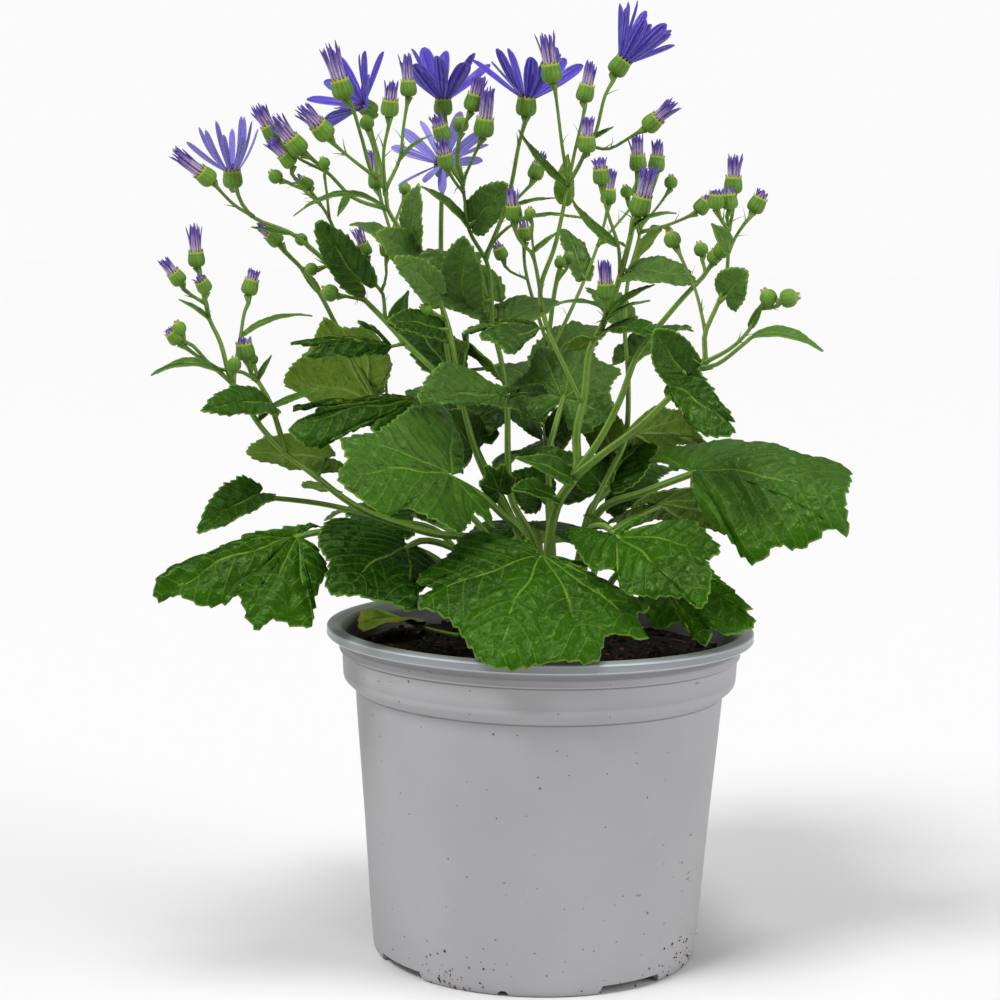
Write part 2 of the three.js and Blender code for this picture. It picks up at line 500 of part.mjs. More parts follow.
      ["oval", [0, 60, 231], [-21, 44, 242], 20, 55, -10, 2, 0],
      ["oval", [2, 38, 196], [-14, 40, 211], 22, 50, 0, 2, 0],
      ["oval", [3, 50, 222], [18, 30, 238], 24, 55, 0, 3, 0],
      ["oval", [18, 102, 299], [6, 125, 323], 13, 0, 0, 3, 0],
      ["lance", [24, 111, 315], [41, 130, 313], 6, 0, 0, 3, 0],
    ],
    "buds": [
      [2.9, [6, 80, 307], [5, 80, 311]],
      [3, [10, 86, 309], [11, 86, 313]],
    ],
    "heads": [
      ["", "tip", [-11, 78, 320], [-12, 78, 329], 3.4],
      ["", "tip", [-22, 67, 311], [-25, 66, 317], 3.2],
      ["h41", "quill", [29, 117, 339], [30, 119, 354], 3.8],
      ["", "tip", [44, 121, 342], [47, 124, 354], 3.6],
    ],
  },
};

const crownLeaves = {
  "leaf_front": {
    "stalk": [1.9, 1.5, [0, -19, 119], [0, -19, 141], [0, -30, 174], [0, -39, 181], [0, -46, 185]],
    "blade": ["front", [0, -46, 185], [-20, -102, 146], 71.1, 32, 5, 6, 4],
  },
  "leaf_mid_left": {
    "stalk": [1.9, 1.4, [-9, -15, 119], [-9, -15, 141], [-8, -15, 188], [-18, -24, 200],
        [-27, -32, 209], [-39, -42, 218]],
    "blade": ["midleft", [-39, -42, 218], [-84, -78, 220], 57.7, 52, 0, 4, 2],
  },
  "leaf_right": {
    "stalk": [2, 1.5, [17, -8, 119], [17, -8, 141], [24, -6, 198], [44, -20, 210], [64, -24, 220]],
    "blade": ["right", [64, -24, 220], [128, -52, 210], 70.6, 38, 0, 6, 12],
  },
  "leaf_right_low": {
    "stalk": [1.9, 1.4, [13, -15, 119], [13, -15, 141], [18, -16, 188], [26, -36, 197], [33, -49, 194]],
    "blade": ["rightlow", [32, -50, 194], [65, -90, 172], 56.3, 62, 0, 4, 2],
  },
  "leaf_right_rim": {
    "stalk": [1.8, 1.4, [22, 0, 119], [22, 0, 141], [33, 0, 170], [41, -8, 175], [48, -16, 174]],
    "blade": ["rim", [48, -16, 174], [90, -56, 160], 59.7, 45, 0, 6, 3],
  },
  "leaf_far_left": {
    "stalk": [1.8, 1.4, [-23, -5, 119], [-23, -5, 141], [-45, -14, 177], [-74, -28, 188],
        [-95, -38, 192], [-104, -44, 191]],
    "blade": ["farleft", [-104, -44, 191], [-160, -68, 166], 65.9, 52, 0, 6, 6],
  },
  "leaf_curled": {
    "stalk": [1.4, 1.1, [-20, 4, 119], [-20, 4, 141], [-45, 2, 187], [-68, 0, 193], [-97, 2, 199],
        [-123, -22, 206]],
    "blade": ["oval", [-123, -22, 206], [-145, -50, 192], 18, 55, 0, 3, -3],
  },
  "leaf_left_dark": {
    "stalk": [1.8, 1.4, [-19, -13, 119], [-19, -13, 141], [-31, -18, 178], [-50, -28, 188],
        [-58, -38, 186]],
    "blade": ["leftdark", [-58, -38, 186], [-84, -80, 170], 51.9, 50, 0, 5, 3],
  },
  "leaf_inner_right": {
    "stalk": [1.6, 1.3, [7, 1, 119], [7, 1, 141], [4, 2, 194], [2, 9, 222], [5, 16, 235], [8, 24, 247]],
    "blade": ["lobed", [8, 23, 247], [19, 45, 270], 52, 38, 0, 3, 2],
  },
  "leaf_far_right": {
    "stalk": [1.7, 1.4, [20, 8, 119], [20, 8, 141], [29, 24, 183], [45, 36, 193], [52, 44, 197]],
    "blade": ["lobed", [52, 44, 197], [95, 66, 178], 44, -38, 0, 6, 2],
  },
  "leaf_back_right": {
    "stalk": [1.7, 1.4, [14, 12, 119], [14, 12, 141], [21, 40, 192], [30, 62, 200], [33, 74, 204]],
    "blade": ["lobed", [33, 80, 204], [56, 132, 204], 48, -5, 10, 6, 4],
  },
  "leaf_back_left": {
    "stalk": [1.8, 1.4, [-17, 12, 119], [-17, 12, 141], [-33, 36, 177], [-53, 56, 186], [-65, 66, 189]],
    "blade": ["lobed", [-65, 66, 189], [-97, 128, 176], 56, -5, -10, 6, 6],
  },
  "leaf_back": {
    "stalk": [1.9, 1.5, [0, 22, 119], [0, 22, 141], [-1, 44, 175], [-3, 62, 181], [-5, 72, 183]],
    "blade": ["lobed", [-5, 72, 183], [-11, 141, 155], 60, -5, 0, 7, 6],
  },
};

// ---------------------------------------------------------------- shared helpers

const up = new THREE.Vector3(0, 0, 1);
const eastward = new THREE.Vector3(1, 0, 0);
const northward = new THREE.Vector3(0, 1, 0);
const wasm = await Module();
wasm.setup();

function vec(point) {
  return new THREE.Vector3(...point);
}

// a small repeatable random source, so every build gives the same plant
function makeRandom(seed) {
  let state = seed;
  return () => {
    state = (state * 16807) % 2147483647;
    return state / 2147483647;
  };
}

function between([low, high], share) {
  return low + (high - low) * share;
}

function solidFromFaces(points, faces) {
  const vertProperties = new Float32Array(points.flatMap((p) => [p.x, p.y, p.z]));
  const triVerts = new Uint32Array(faces.flat());
  return new wasm.Manifold(new wasm.Mesh({ numProp: 3, vertProperties, triVerts }));
}

function solidFromGeometry(geometry) {
  const bare = geometry.clone();
  bare.deleteAttribute("normal");
  bare.deleteAttribute("uv");
  const merged = mergeVertices(bare, mergeDistance);
  const vertProperties = new Float32Array(merged.attributes.position.array);
  const triVerts = new Uint32Array(merged.index.array);
  return new wasm.Manifold(new wasm.Mesh({ numProp: 3, vertProperties, triVerts }));
}

function joinAll(solids) {
  let whole = solids[0];
  for (const solid of solids.slice(1)) {
    whole = whole.add(solid);
  }
  return whole;
}

// the body itself, without the scraps and sealed hollows that joining can leave
function largestBody(solid) {
  const bodies = solid.decompose();
  return bodies.reduce((best, body) => (body.volume() > best.volume() ? body : best));
}

function geometryFromSolid(solid) {
  const mesh = solid.getMesh();
  const geometry = new THREE.BufferGeometry();
  geometry.setAttribute("position", new THREE.BufferAttribute(new Float32Array(mesh.vertProperties), 3));
  geometry.setIndex(Array.from(mesh.triVerts));
  geometry.computeVertexNormals();
  return geometry;
}

function addPiece(name, solid, material) {
  const piece = new THREE.Mesh(geometryFromSolid(solid), material);
  piece.name = name;
  group.add(piece);
}

// faces between two rings of equal count, wound so that the rings run counter-clockwise seen from the end
function ringFaces(lower, higher, count) {
  const faces = [];
  for (let k = 0; k < count; k += 1) {
    const next = (k + 1) % count;
    faces.push([lower + k, lower + next, higher + next]);
    faces.push([lower + k, higher + next, higher + k]);
  }
  return faces;
}

function capFaces(first, count, outward) {
  const faces = [];
  for (let k = 1; k < count - 1; k += 1) {
    faces.push(outward ? [first, first + k, first + k + 1] : [first, first + k + 1, first + k]);
  }
  return faces;
}

// ---------------------------------------------------------------- stems

// a ring of a swept body: its centre, two directions across it and its radius
function makeRing(centre, side, other, radius) {
  return { centre, side, other, radius };
}

function ringPoints(ring, sides) {
  return Array.from({ length: sides }, (_, k) => {
    const angle = (2 * Math.PI * k) / sides;
    return ring.centre.clone()
      .addScaledVector(ring.side, ring.radius * Math.cos(angle))
      .addScaledVector(ring.other, ring.radius * Math.sin(angle));
  });
}

// a closed body swept through its rings; a rooted one starts from a point sunk in the stem that carries it
function sweptSolid(rings, sides, root = null) {
  const points = rings.flatMap((ring) => ringPoints(ring, sides));
  const faces = [];
  for (let i = 1; i < rings.length; i += 1) {
    faces.push(...ringFaces((i - 1) * sides, i * sides, sides));
  }
  faces.push(...(root ? coneFaces(points, 0, sides, root) : capFaces(0, sides, false)));
  faces.push(...capFaces((rings.length - 1) * sides, sides, true));
  return solidFromFaces(points, faces);
}

function coneFaces(points, first, sides, root) {
  const apex = points.length;
  points.push(root.clone());
  return Array.from({ length: sides }, (_, k) => [apex, first + ((k + 1) % sides), first + k]);
}

function stemCurve(points) {
  return new THREE.CatmullRomCurve3(points.map(vec), false, "centripetal");
}

// rings along a stem: one that stands in the soil has a straight foot, a twig starts just outside its stem
function stemRings(points, startRadius, endRadius, rooted) {
  const step = startRadius > thickStem ? thickStep : thinStep;
  const curve = stemCurve(rooted ? points : points.slice(1));
  const length = curve.getLength();
  const from = rooted ? Math.min(longestRoot, rootDepth / length) : 0;
  const steps = Math.max(1, Math.round((length * (1 - from)) / step));
  const rings = rooted ? [] : [makeRing(vec(points[0]), eastward, northward, startRadius)];
  for (let i = 0; i <= steps; i += 1) {
    const along = Math.min(1, from + ((1 - from) * i) / steps);
    const tangent = curve.getTangentAt(along);
    const side = new THREE.Vector3().crossVectors(northward, tangent).normalize();
    const other = new THREE.Vector3().crossVectors(tangent, side);
    const ringRadius = startRadius + (endRadius - startRadius) * along;
    rings.push(makeRing(curve.getPointAt(along), side, other, ringRadius));
  }
  return rings;
}

function nearestOnChord(point, start, end) {
  return new THREE.Line3(start, end).closestPointToPoint(point, true, new THREE.Vector3());
}

function nearestOnStems(stems, point) {
  let best = null;
  for (const stem of stems) {
    for (let i = 1; i < stem.spine.length; i += 1) {
      const candidate = nearestOnChord(point, stem.spine[i - 1], stem.spine[i]);
      if (best === null || candidate.distanceTo(point) < best.distanceTo(point)) {
        best = candidate;
      }
    }
  }
  return best;
}

// every twig starts on the stem that carries it, and a cup or bud stands on the twig end nearest to it
function growStems(shoot) {
  const stems = shoot.stems.map(([startRadius, endRadius, ...points]) => (
    { startRadius, endRadius, points: points.map((point) => [...point]), end: null }
  ));
  const ends = [
    ...shoot.buds.map(([radius, centre, tip]) => ({ form: "bud", radius, centre, tip })),
    ...shoot.heads.map(([, kind, centre, tip, radius]) =>
      ({ form: kind === "tip" ? "tip" : "cup", radius, centre, tip })),
  ];
  for (const end of ends) {
    const gaps = stems.map((stem) =>
      (stem.end ? Infinity : vec(stem.points.at(-1)).distanceTo(vec(end.centre))));
    const stem = stems[gaps.indexOf(Math.min(...gaps))];
    const axis = directionOf(end.centre, end.tip);
    stem.end = end;
    stem.points.push(vec(end.centre).addScaledVector(axis, endForms[end.form][0][1] * end.radius).toArray());
  }
  stems.forEach((stem, index) => {
    stem.rooted = index > 0;
    if (stem.rooted) {
      stem.points[0] = nearestOnStems(stems.slice(0, index), vec(stem.points[0])).toArray();
    }
    stem.rings = stemRings(stem.points, stem.startRadius, stem.endRadius, stem.rooted);
    stem.spine = [vec(stem.points[0]), ...stem.rings.map((ring) => ring.centre.clone())];
    stem.spine.at(-1).lerp(stem.spine.at(-2), rootSink);
  });
  return stems;
}

// the cup, bud or closed head on a twig's end goes on from the twig's own rings
function endRings(end, lastRing) {
  const axis = directionOf(end.centre, end.tip);
  const length = vec(end.centre).distanceTo(vec(end.tip));
  const side = lastRing.side.clone().addScaledVector(axis, -lastRing.side.dot(axis)).normalize();
  const other = new THREE.Vector3().crossVectors(axis, side);
  const rings = endForms[end.form].map(([share, height]) => (
    makeRing(vec(end.centre).addScaledVector(axis, height * end.radius), side, other, share * end.radius)
  ));
  if (end.form === "tip") {
    closedHead.forEach(([share, height]) => {
      const middle = vec(end.centre).addScaledVector(axis, height * length);
      rings.push(makeRing(middle, side, other, share * end.radius));
    });
  }
  return rings;
}

function stemSolid(stem) {
  const root = stem.rooted ? vec(stem.points[0]) : null;
  if (stem.end) {
    const rings = [...stem.rings.slice(0, -1), ...endRings(stem.end, stem.rings.at(-1))];
    return sweptSolid(rings, stem.end.radius < smallEnd ? 4 : 5, root);
  }
  return sweptSolid(stem.rings, 4, root);
}

// ---------------------------------------------------------------- leaves

// the blade's own frame: along the midrib, across it, and out of its upper face
function leafFrame(leaf) {
  const [, baseAt, tipAt, , lean, sideways] = leaf;
  const base = vec(baseAt);
  const along = new THREE.Vector3().subVectors(vec(tipAt), base);
  const length = along.length();
  along.normalize();
  const leanAngle = THREE.MathUtils.degToRad(lean);
  const sideAngle = THREE.MathUtils.degToRad(sideways);
  const face = new THREE.Vector3(
    Math.sin(sideAngle),
    -Math.sin(leanAngle),
    Math.cos(leanAngle) * Math.cos(sideAngle),
  );
  face.addScaledVector(along, -face.dot(along)).normalize();
  const across = new THREE.Vector3().crossVectors(face, along);
  return { base, along, across, face, length };
}

// the whole outline of a leaf: its own, or a plain half outline and its mirror image
function leafOutline(form) {
  if (ownOutlines[form]) {
    return ownOutlines[form];
  }
  const half = halfOutlines[form];
  return [...half.slice(1).reverse(), ...half.map(([angle, radius]) => [-angle, radius])];
}

function leafSurfacePoint(leaf, frame, angle, radius) {
  const [form, , , width, , , arch, bow] = leaf;
  const formWidth = plainWidths[form] ?? 1;
  const fold = foldHeights[form] ?? foldHeights.own;
  const u = radius * Math.cos(angle);
  const v = radius * Math.sin(angle) * (width / (frame.length * formWidth));
  const halfWidth = width / (2 * frame.length);
  const rise = arch * 4 * u * (1 - u) - bow * (v / halfWidth) ** 2 + fold * Math.abs(v) * frame.length
    + waveHeight * width * radius ** 2 * Math.sin(waveCount * angle + frame.length);
  return frame.base.clone()
    .addScaledVector(frame.along, u * frame.length)
    .addScaledVector(frame.across, v * frame.length)
    .addScaledVector(frame.face, rise);
}

// a closed thin blade: the same triangles on both faces and a narrow rim between them
function bladeShell(points, faces, border) {
  const normals = points.map(() => new THREE.Vector3());
  for (const [a, b, c] of faces) {
    const normal = new THREE.Vector3().crossVectors(
      points[b].clone().sub(points[a]),
      points[c].clone().sub(points[a]),
    );
    [a, b, c].forEach((index) => normals[index].add(normal));
  }
  normals.forEach((normal) => normal.normalize());
  const count = points.length;
  const both = [1, -1].flatMap((sign) => (
    points.map((point, index) => point.clone().addScaledVector(normals[index], (sign * bladeThickness) / 2))
  ));
  const allFaces = [...faces];
  faces.forEach(([a, b, c]) => allFaces.push([a + count, c + count, b + count]));
  border.slice(1).forEach((b, index) => {
    const a = border[index];
    allFaces.push([b, a, a + count], [b, a + count, b + count]);
  });
  return { points: both, faces: allFaces, count, normal: normals[0] };
}

// the stalk's last ring is the start of the blade: above, left, below and right of the midrib
function bladeWithStalk(shell, border, frame, stalk) {
  const { points, faces, count, normal } = shell;
  const { route, radius, rooted } = stalk;
  const rings = stemRings(route, radius * stalkSwell, radius, rooted).slice(0, -1);
  const first = points.length;
  for (const ring of rings) {
    const side = normal.clone();
    const along = new THREE.Vector3().crossVectors(ring.side, ring.other);
    side.addScaledVector(along, -side.dot(along)).normalize();
    points.push(...ringPoints(makeRing(ring.centre, side, along.clone().cross(side), ring.radius), 4));
  }
  const left = points.length;
  points.push(frame.base.clone().addScaledVector(frame.across, radius));
  const right = points.length;
  points.push(frame.base.clone().addScaledVector(frame.across, -radius));
  const [afterPole, beforePole] = [border[0], border.at(-1)];
  faces.push([afterPole, 0, right], [afterPole, right, afterPole + count], [afterPole + count, right, count]);
  faces.push([0, beforePole, left], [beforePole, beforePole + count, left]);
  faces.push([beforePole + count, count, left]);
  const end = [0, right, count, left];
  for (let ring = 1; ring < rings.length; ring += 1) {
    faces.push(...ringFaces(first + (ring - 1) * 4, first + ring * 4, 4));
  }
  const last = first + (rings.length - 1) * 4;
  for (let k = 0; k < 4; k += 1) {
    const next = (k + 1) % 4;
    faces.push([last + k, last + next, end[next]], [last + k, end[next], end[k]]);
  }
  faces.push(...(rooted ? coneFaces(points, first, 4, vec(route[0])) : capFaces(first, 4, false)));
  return solidFromFaces(points, faces);
}

function broadBlade(leaf, stalk) {
  const frame = leafFrame(leaf);
  const outline = leafOutline(leaf[0]);
  const points = [frame.base.clone()];
  const inner = [];
  const outer = [];
  outline.forEach(([degrees, radius], index) => {
    const angle = THREE.MathUtils.degToRad(degrees);
    if (index % 2 === 0) {
      const near = outline.slice(Math.max(0, index - 1), index + 2).map((entry) => entry[1]);
      inner.push(points.length);
      points.push(leafSurfacePoint(leaf, frame, angle, Math.min(...near) * innerRing));
    }
    outer.push(points.length);
    points.push(leafSurfacePoint(leaf, frame, angle, radius));
  });
  const faces = [];
  for (let k = 0; k < inner.length - 1; k += 1) {
    const [a, b] = [inner[k], inner[k + 1]];
    const [p, q, r] = [outer[2 * k], outer[2 * k + 1], outer[2 * k + 2]];
    faces.push([0, b, a], [a, q, p], [a, b, q], [b, r, q]);
  }
  const border = [inner.at(-1), ...outer.reverse(), inner[0]];
  return bladeWithStalk(bladeShell(points, faces, border), border, frame, stalk);
}

function narrowBlade(leaf) {
  const frame = leafFrame(leaf);
  const [, , , width, , , arch] = leaf;
  const points = [frame.base.clone()];
  const faces = [];
  const left = [];
  const right = [];
  lanceStations.forEach(([u, share]) => {
    const middle = frame.base.clone()
      .addScaledVector(frame.along, u * frame.length)
      .addScaledVector(frame.face, arch * 4 * u * (1 - u));
    [left, right].forEach((edge, index) => {
      const sign = index === 0 ? 1 : -1;
      edge.push(points.length);
      points.push(middle.clone()
        .addScaledVector(frame.across, (sign * share * width) / 2)
        .addScaledVector(frame.face, share * width * lanceFold));
    });
  });
  const tip = points.length;
  points.push(frame.base.clone().addScaledVector(frame.along, frame.length));
  faces.push([0, right[0], left[0]]);
  for (let k = 0; k < left.length - 1; k += 1) {
    faces.push([left[k], right[k], right[k + 1]], [left[k], right[k + 1], left[k + 1]]);
  }
  faces.push([left.at(-1), right.at(-1), tip]);
  const border = [0, ...right, tip, ...left.reverse(), 0];
  const shell = bladeShell(points, faces, border);
  return solidFromFaces(shell.points, shell.faces);
}

// a small bract sits straight on the stem; a broader leaf has a stalk of its own
function leafSolid(leaf, stems) {
  const base = vec(leaf[1]);
  const start = nearestOnStems(stems, base);
  if (leaf[0] === "lance") {
    const seated = [...leaf];
    seated[1] = start.toArray();
    return narrowBlade(seated);
  }
  if (start.distanceTo(base) < shortestStalk) {
    base.addScaledVector(leafFrame(leaf).along, shortestStalk);
    const seated = [...leaf];
    seated[1] = base.toArray();
    return broadBlade(seated, { route: [start.toArray(), seated[1]], radius: stalkRadius, rooted: true });
  }
  return broadBlade(leaf, { route: [start.toArray(), leaf[1]], radius: stalkRadius, rooted: true });
}

// ---------------------------------------------------------------- blooms

function directionOf(centreAt, tipAt) {
  return new THREE.Vector3().subVectors(vec(tipAt), vec(centreAt)).normalize();
}

function headFrame(centreAt, tipAt) {
  const axis = directionOf(centreAt, tipAt);
  const side = new THREE.Vector3().crossVectors(axis, headTilt).normalize();
  const other = new THREE.Vector3().crossVectors(axis, side);
  return { axis, side, other, length: vec(centreAt).distanceTo(vec(tipAt)) };
}

function aroundHead(centreAt, frame, angle, radius, height) {
  return vec(centreAt)
    .addScaledVector(frame.axis, height)
    .addScaledVector(frame.side, radius * Math.cos(angle))
    .addScaledVector(frame.other, radius * Math.sin(angle));
}

// rolled rays standing together: one bundle that splits into pointed ends
function quillBundle(centreAt, tipAt, radius, lift) {
  const frame = headFrame(centreAt, tipAt);
  const low = cupTop * radius + lift;
  const random = makeRandom(Math.round(frame.length * seedScale));
  const points = [];
  const faces = [];
  for (let k = 0; k < quillCount; k += 1) {
    points.push(aroundHead(centreAt, frame, (2 * Math.PI * k) / quillCount, radius * quillFoot, low));
  }
  for (let k = 0; k < quillCount; k += 1) {
    const height = between([low, frame.length], quillSplit);
    points.push(aroundHead(centreAt, frame, (2 * Math.PI * k) / quillCount, radius * quillWaist, height));
  }
  for (let k = 0; k < quillCount; k += 1) {
    const reach = frame.length * between(quillReach, random());
    const angle = (2 * Math.PI * (k + 0.5)) / quillCount;
    points.push(aroundHead(centreAt, frame, angle, radius * between(quillFlare, random()), reach));
  }
  points.push(aroundHead(centreAt, frame, 0, 0, between([low, frame.length], quillCore)));
  const middle = 3 * quillCount;
  faces.push(...capFaces(0, quillCount, false));
  faces.push(...ringFaces(0, quillCount, quillCount));
  for (let k = 0; k < quillCount; k += 1) {
    const a = quillCount + k;
    const b = quillCount + ((k + 1) % quillCount);
    const tip = 2 * quillCount + k;
    faces.push([a, b, tip], [b, middle, tip], [middle, a, tip]);
  }
  return solidFromFaces(points, faces);
}

// an open head: strap-shaped rays, each growing out of its own share of a small disc's side
function openRays(name, kind, centreAt, tipAt, radius) {
  const frame = headFrame(centreAt, tipAt);
  const { rays, spread } = openKinds[kind];
  const low = cupTop * radius + headGap;
  const random = makeRandom(Math.round(frame.length * seedScale));
  const points = [];
  const faces = [];
  [low, low + discRise].forEach((height) => {
    for (let k = 0; k < rays; k += 1) {
      points.push(aroundHead(centreAt, frame, (2 * Math.PI * k) / rays, radius * discShare, height));
    }
  });
  faces.push(...capFaces(0, rays, false), ...capFaces(rays, rays, true));
  for (let k = 0; k < rays; k += 1) {
    const next = (k + 1) % rays;
    const angle = (2 * Math.PI * (k + 0.5)) / rays;
    const open = THREE.MathUtils.degToRad(spread * between(raySpread, random()));
    const length = frame.length * between(rayReach, random());
    const out = frame.side.clone().multiplyScalar(Math.cos(angle));
    out.addScaledVector(frame.other, Math.sin(angle));
    const outward = out.multiplyScalar(Math.sin(open)).addScaledVector(frame.axis, Math.cos(open));
    const across = new THREE.Vector3().crossVectors(frame.axis, outward).normalize();
    const face = new THREE.Vector3().crossVectors(outward, across);
    const root = aroundHead(centreAt, frame, angle, radius * discShare * rayRoot, low + discRise / 2);
    const station = points.length;
    const middle = root.clone()
      .addScaledVector(outward, length * rayWidest)
      .addScaledVector(face, length * rayMiddleBend);
    [[-1, -1], [1, -1], [1, 1], [-1, 1]].forEach(([sideways, above]) => {
      points.push(middle.clone()
        .addScaledVector(across, (sideways * rayWidths[name]) / 2)
        .addScaledVector(face, (above * bladeThickness) / 2));
    });
    const tip = points.length;
    points.push(root.clone().addScaledVector(outward, length).addScaledVector(face, length * rayBend));
    const rootRing = [k, next, rays + next, rays + k];
    for (let side = 0; side < 4; side += 1) {
      const after = (side + 1) % 4;
      faces.push([rootRing[side], rootRing[after], station + after]);
      faces.push([rootRing[side], station + after, station + side]);
      faces.push([station + side, station + after, tip]);
    }
  }
  return solidFromFaces(points, faces);
}

// ---------------------------------------------------------------- whole shoots

function addShoot(name, shoot) {
  const stems = growStems(shoot);
  const solids = stems.map(stemSolid);
  for (const leaf of shoot.leaves) {
    solids.push(leafSolid(leaf, stems));
  }
  addPiece(name, largestBody(joinAll(solids)), stemGreen);
  for (const [headName, kind, centre, tip, radius] of shoot.heads) {
    if (kind !== "tip") {
      addRays(headName, kind, centre, tip, radius);
    }
  }
}

// a leaf from the crown: its stalk and blade are one body
function addCrownLeaf(name, { stalk, blade }) {
  const [, radius, ...route] = stalk;
  addPiece(name, broadBlade(blade, { route, radius, rooted: false }), leafGreen);
}

function addRays(name, kind, centre, tip, radius) {
  if (kind === "quill") {
    addPiece(`bloom_${name}`, quillBundle(centre, tip, radius, headGap), quillViolet);
  } else {
    addPiece(`bloom_${name}`, openRays(name, kind, centre, tip, radius), rayViolet);
  }
}

// ---------------------------------------------------------------- pot and soil

function addPot() {
  const profile = potProfile.map(([radius, height]) => new THREE.Vector2(radius, height));
  const wall = new THREE.LatheGeometry(profile, potSegments);
  wall.rotateX(Math.PI / 2);
  const pad = [0, floorTop - 1].map((height) =>
    makeRing(vec([0, 0, height]), eastward, northward, padRadius));
  let solid = solidFromGeometry(wall).add(sweptSolid(pad, padSides));
  for (let k = 0; k < footNotches; k += 1) {
    const turn = (2 * Math.PI * k) / footNotches;
    solid = solid.subtract(footCutter(notchShape(), footNotchAngle + turn));
    solid = solid.subtract(footCutter(archShape(), footArchAngle + turn));
    solid = solid.subtract(drainCutter(footNotchAngle + turn));
  }
  addPiece("pot", solid, potGrey);
}

function notchShape() {
  const shape = new THREE.Shape();
  shape.moveTo(-notchFootWidth / 2, -1);
  shape.lineTo(notchFootWidth / 2, -1);
  shape.lineTo(notchTopWidth / 2, notchHeight);
  shape.lineTo(-notchTopWidth / 2, notchHeight);
  shape.closePath();
  return shape;
}

function archShape() {
  const shape = new THREE.Shape();
  shape.moveTo(-footArchRadius, -1);
  shape.lineTo(footArchRadius, -1);
  shape.lineTo(footArchRadius, 0);
  shape.absarc(0, 0, footArchRadius, 0, Math.PI, false);
  shape.closePath();
  return shape;
}

// a cutter that runs out through the foot ring; angle 0 looks along -Y, positive towards +X
function footCutter(shape, angle) {
  const settings = { depth: cutterDepth, bevelEnabled: false, curveSegments: 3 };
  const geometry = new THREE.ExtrudeGeometry(shape, settings);
  geometry.rotateX(Math.PI / 2);
  geometry.translate(0, -footRingInner, 0);
  geometry.rotateZ(angle);
  return solidFromGeometry(geometry);
}

function drainCutter(angle) {
  const geometry = new THREE.CylinderGeometry(drainRadius, drainRadius, floorTop + 4, drainSides);
  geometry.rotateX(Math.PI / 2);
  geometry.translate(0, -drainCircle, floorTop / 2);
  geometry.rotateZ(angle);
  return solidFromGeometry(geometry);
}

function addSoil() {
  const random = makeRandom(soilSeed);
  const points = [new THREE.Vector3(0, 0, soilProfile[0][1])];
  const faces = [];
  soilProfile.forEach(([radius, height, rough]) => {
    for (let k = 0; k < soilSegments; k += 1) {
      const angle = (2 * Math.PI * k) / soilSegments;
      points.push(new THREE.Vector3(
        radius * Math.cos(angle),
        radius * Math.sin(angle),
        height + rough * (random() - 0.5),
      ));
    }
  });
  const rings = soilProfile.length;
  points.push(new THREE.Vector3(0, 0, soilProfile[rings - 1][1]));
  for (let ring = 1; ring < rings; ring += 1) {
    faces.push(...ringFaces(1 + (ring - 1) * soilSegments, 1 + ring * soilSegments, soilSegments));
  }
  const last = 1 + (rings - 1) * soilSegments;
  for (let k = 0; k < soilSegments; k += 1) {
    const next = (k + 1) % soilSegments;
    faces.push([0, 1 + next, 1 + k]);
    faces.push([last + k, last + next, points.length - 1]);
  }
  let solid = solidFromFaces(points, faces);
  const roots = [
    ...Object.values(shoots).map((shoot) => shoot.stems[0]),
    ...Object.values(crownLeaves).map((leaf) => leaf.stalk),
  ];
  for (const [radius, , root] of roots) {
    solid = solid.subtract(rootHole(radius, root));
  }
  addPiece("soil", solid, soilBrown);
}

// a plain straight hole that clears the stem all round
function rootHole(radius, root) {
  const wide = (radius + rootGap) / Math.cos(Math.PI / holeSides);
  const rings = [-rootGap, holeDepth].map((height) => (
    makeRing(vec(root).addScaledVector(up, height), eastward, northward, wide)
  ));
  return sweptSolid(rings, holeSides);
}

// a yellowed leaf that has dropped, lying on the soil with its stalk
function addOldLeaf() {
  const stalk = { route: oldLeafStalk, radius: oldStalkRadius, rooted: false };
  addPiece("old_leaf", broadBlade(oldLeafBlade, stalk), oldLeafYellow);
}

addPot();
addSoil();
addOldLeaf();
Object.entries(crownLeaves).forEach(([name, leaf]) => addCrownLeaf(name, leaf));
Object.entries(shoots).forEach(([name, shoot]) => addShoot(name, shoot));

export default group;
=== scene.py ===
import math

import bpy
import numpy as np
from mathutils import Matrix, Vector, noise


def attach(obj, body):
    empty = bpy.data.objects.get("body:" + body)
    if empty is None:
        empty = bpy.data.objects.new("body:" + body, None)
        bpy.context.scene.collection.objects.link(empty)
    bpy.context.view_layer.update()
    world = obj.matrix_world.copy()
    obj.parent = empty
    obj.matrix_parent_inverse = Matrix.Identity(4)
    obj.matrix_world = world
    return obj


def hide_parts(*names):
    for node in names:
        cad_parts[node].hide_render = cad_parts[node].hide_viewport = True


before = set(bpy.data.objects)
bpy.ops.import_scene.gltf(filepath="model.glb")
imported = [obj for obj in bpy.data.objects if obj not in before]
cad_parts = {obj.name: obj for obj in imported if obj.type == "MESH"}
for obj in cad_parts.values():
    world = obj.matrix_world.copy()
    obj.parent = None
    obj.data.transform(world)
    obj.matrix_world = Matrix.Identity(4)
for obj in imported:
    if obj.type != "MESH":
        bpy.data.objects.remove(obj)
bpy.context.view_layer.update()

# A florist cineraria in growth in its grey nursery pot. Measures in the dictionaries are millimetres.
millimetre = 0.001

# ---- camera and light
view = {"place": (0, -977, 319.5), "pitch": -6.81, "yaw": -1.11, "roll": 1.05, "lens": 79.85}


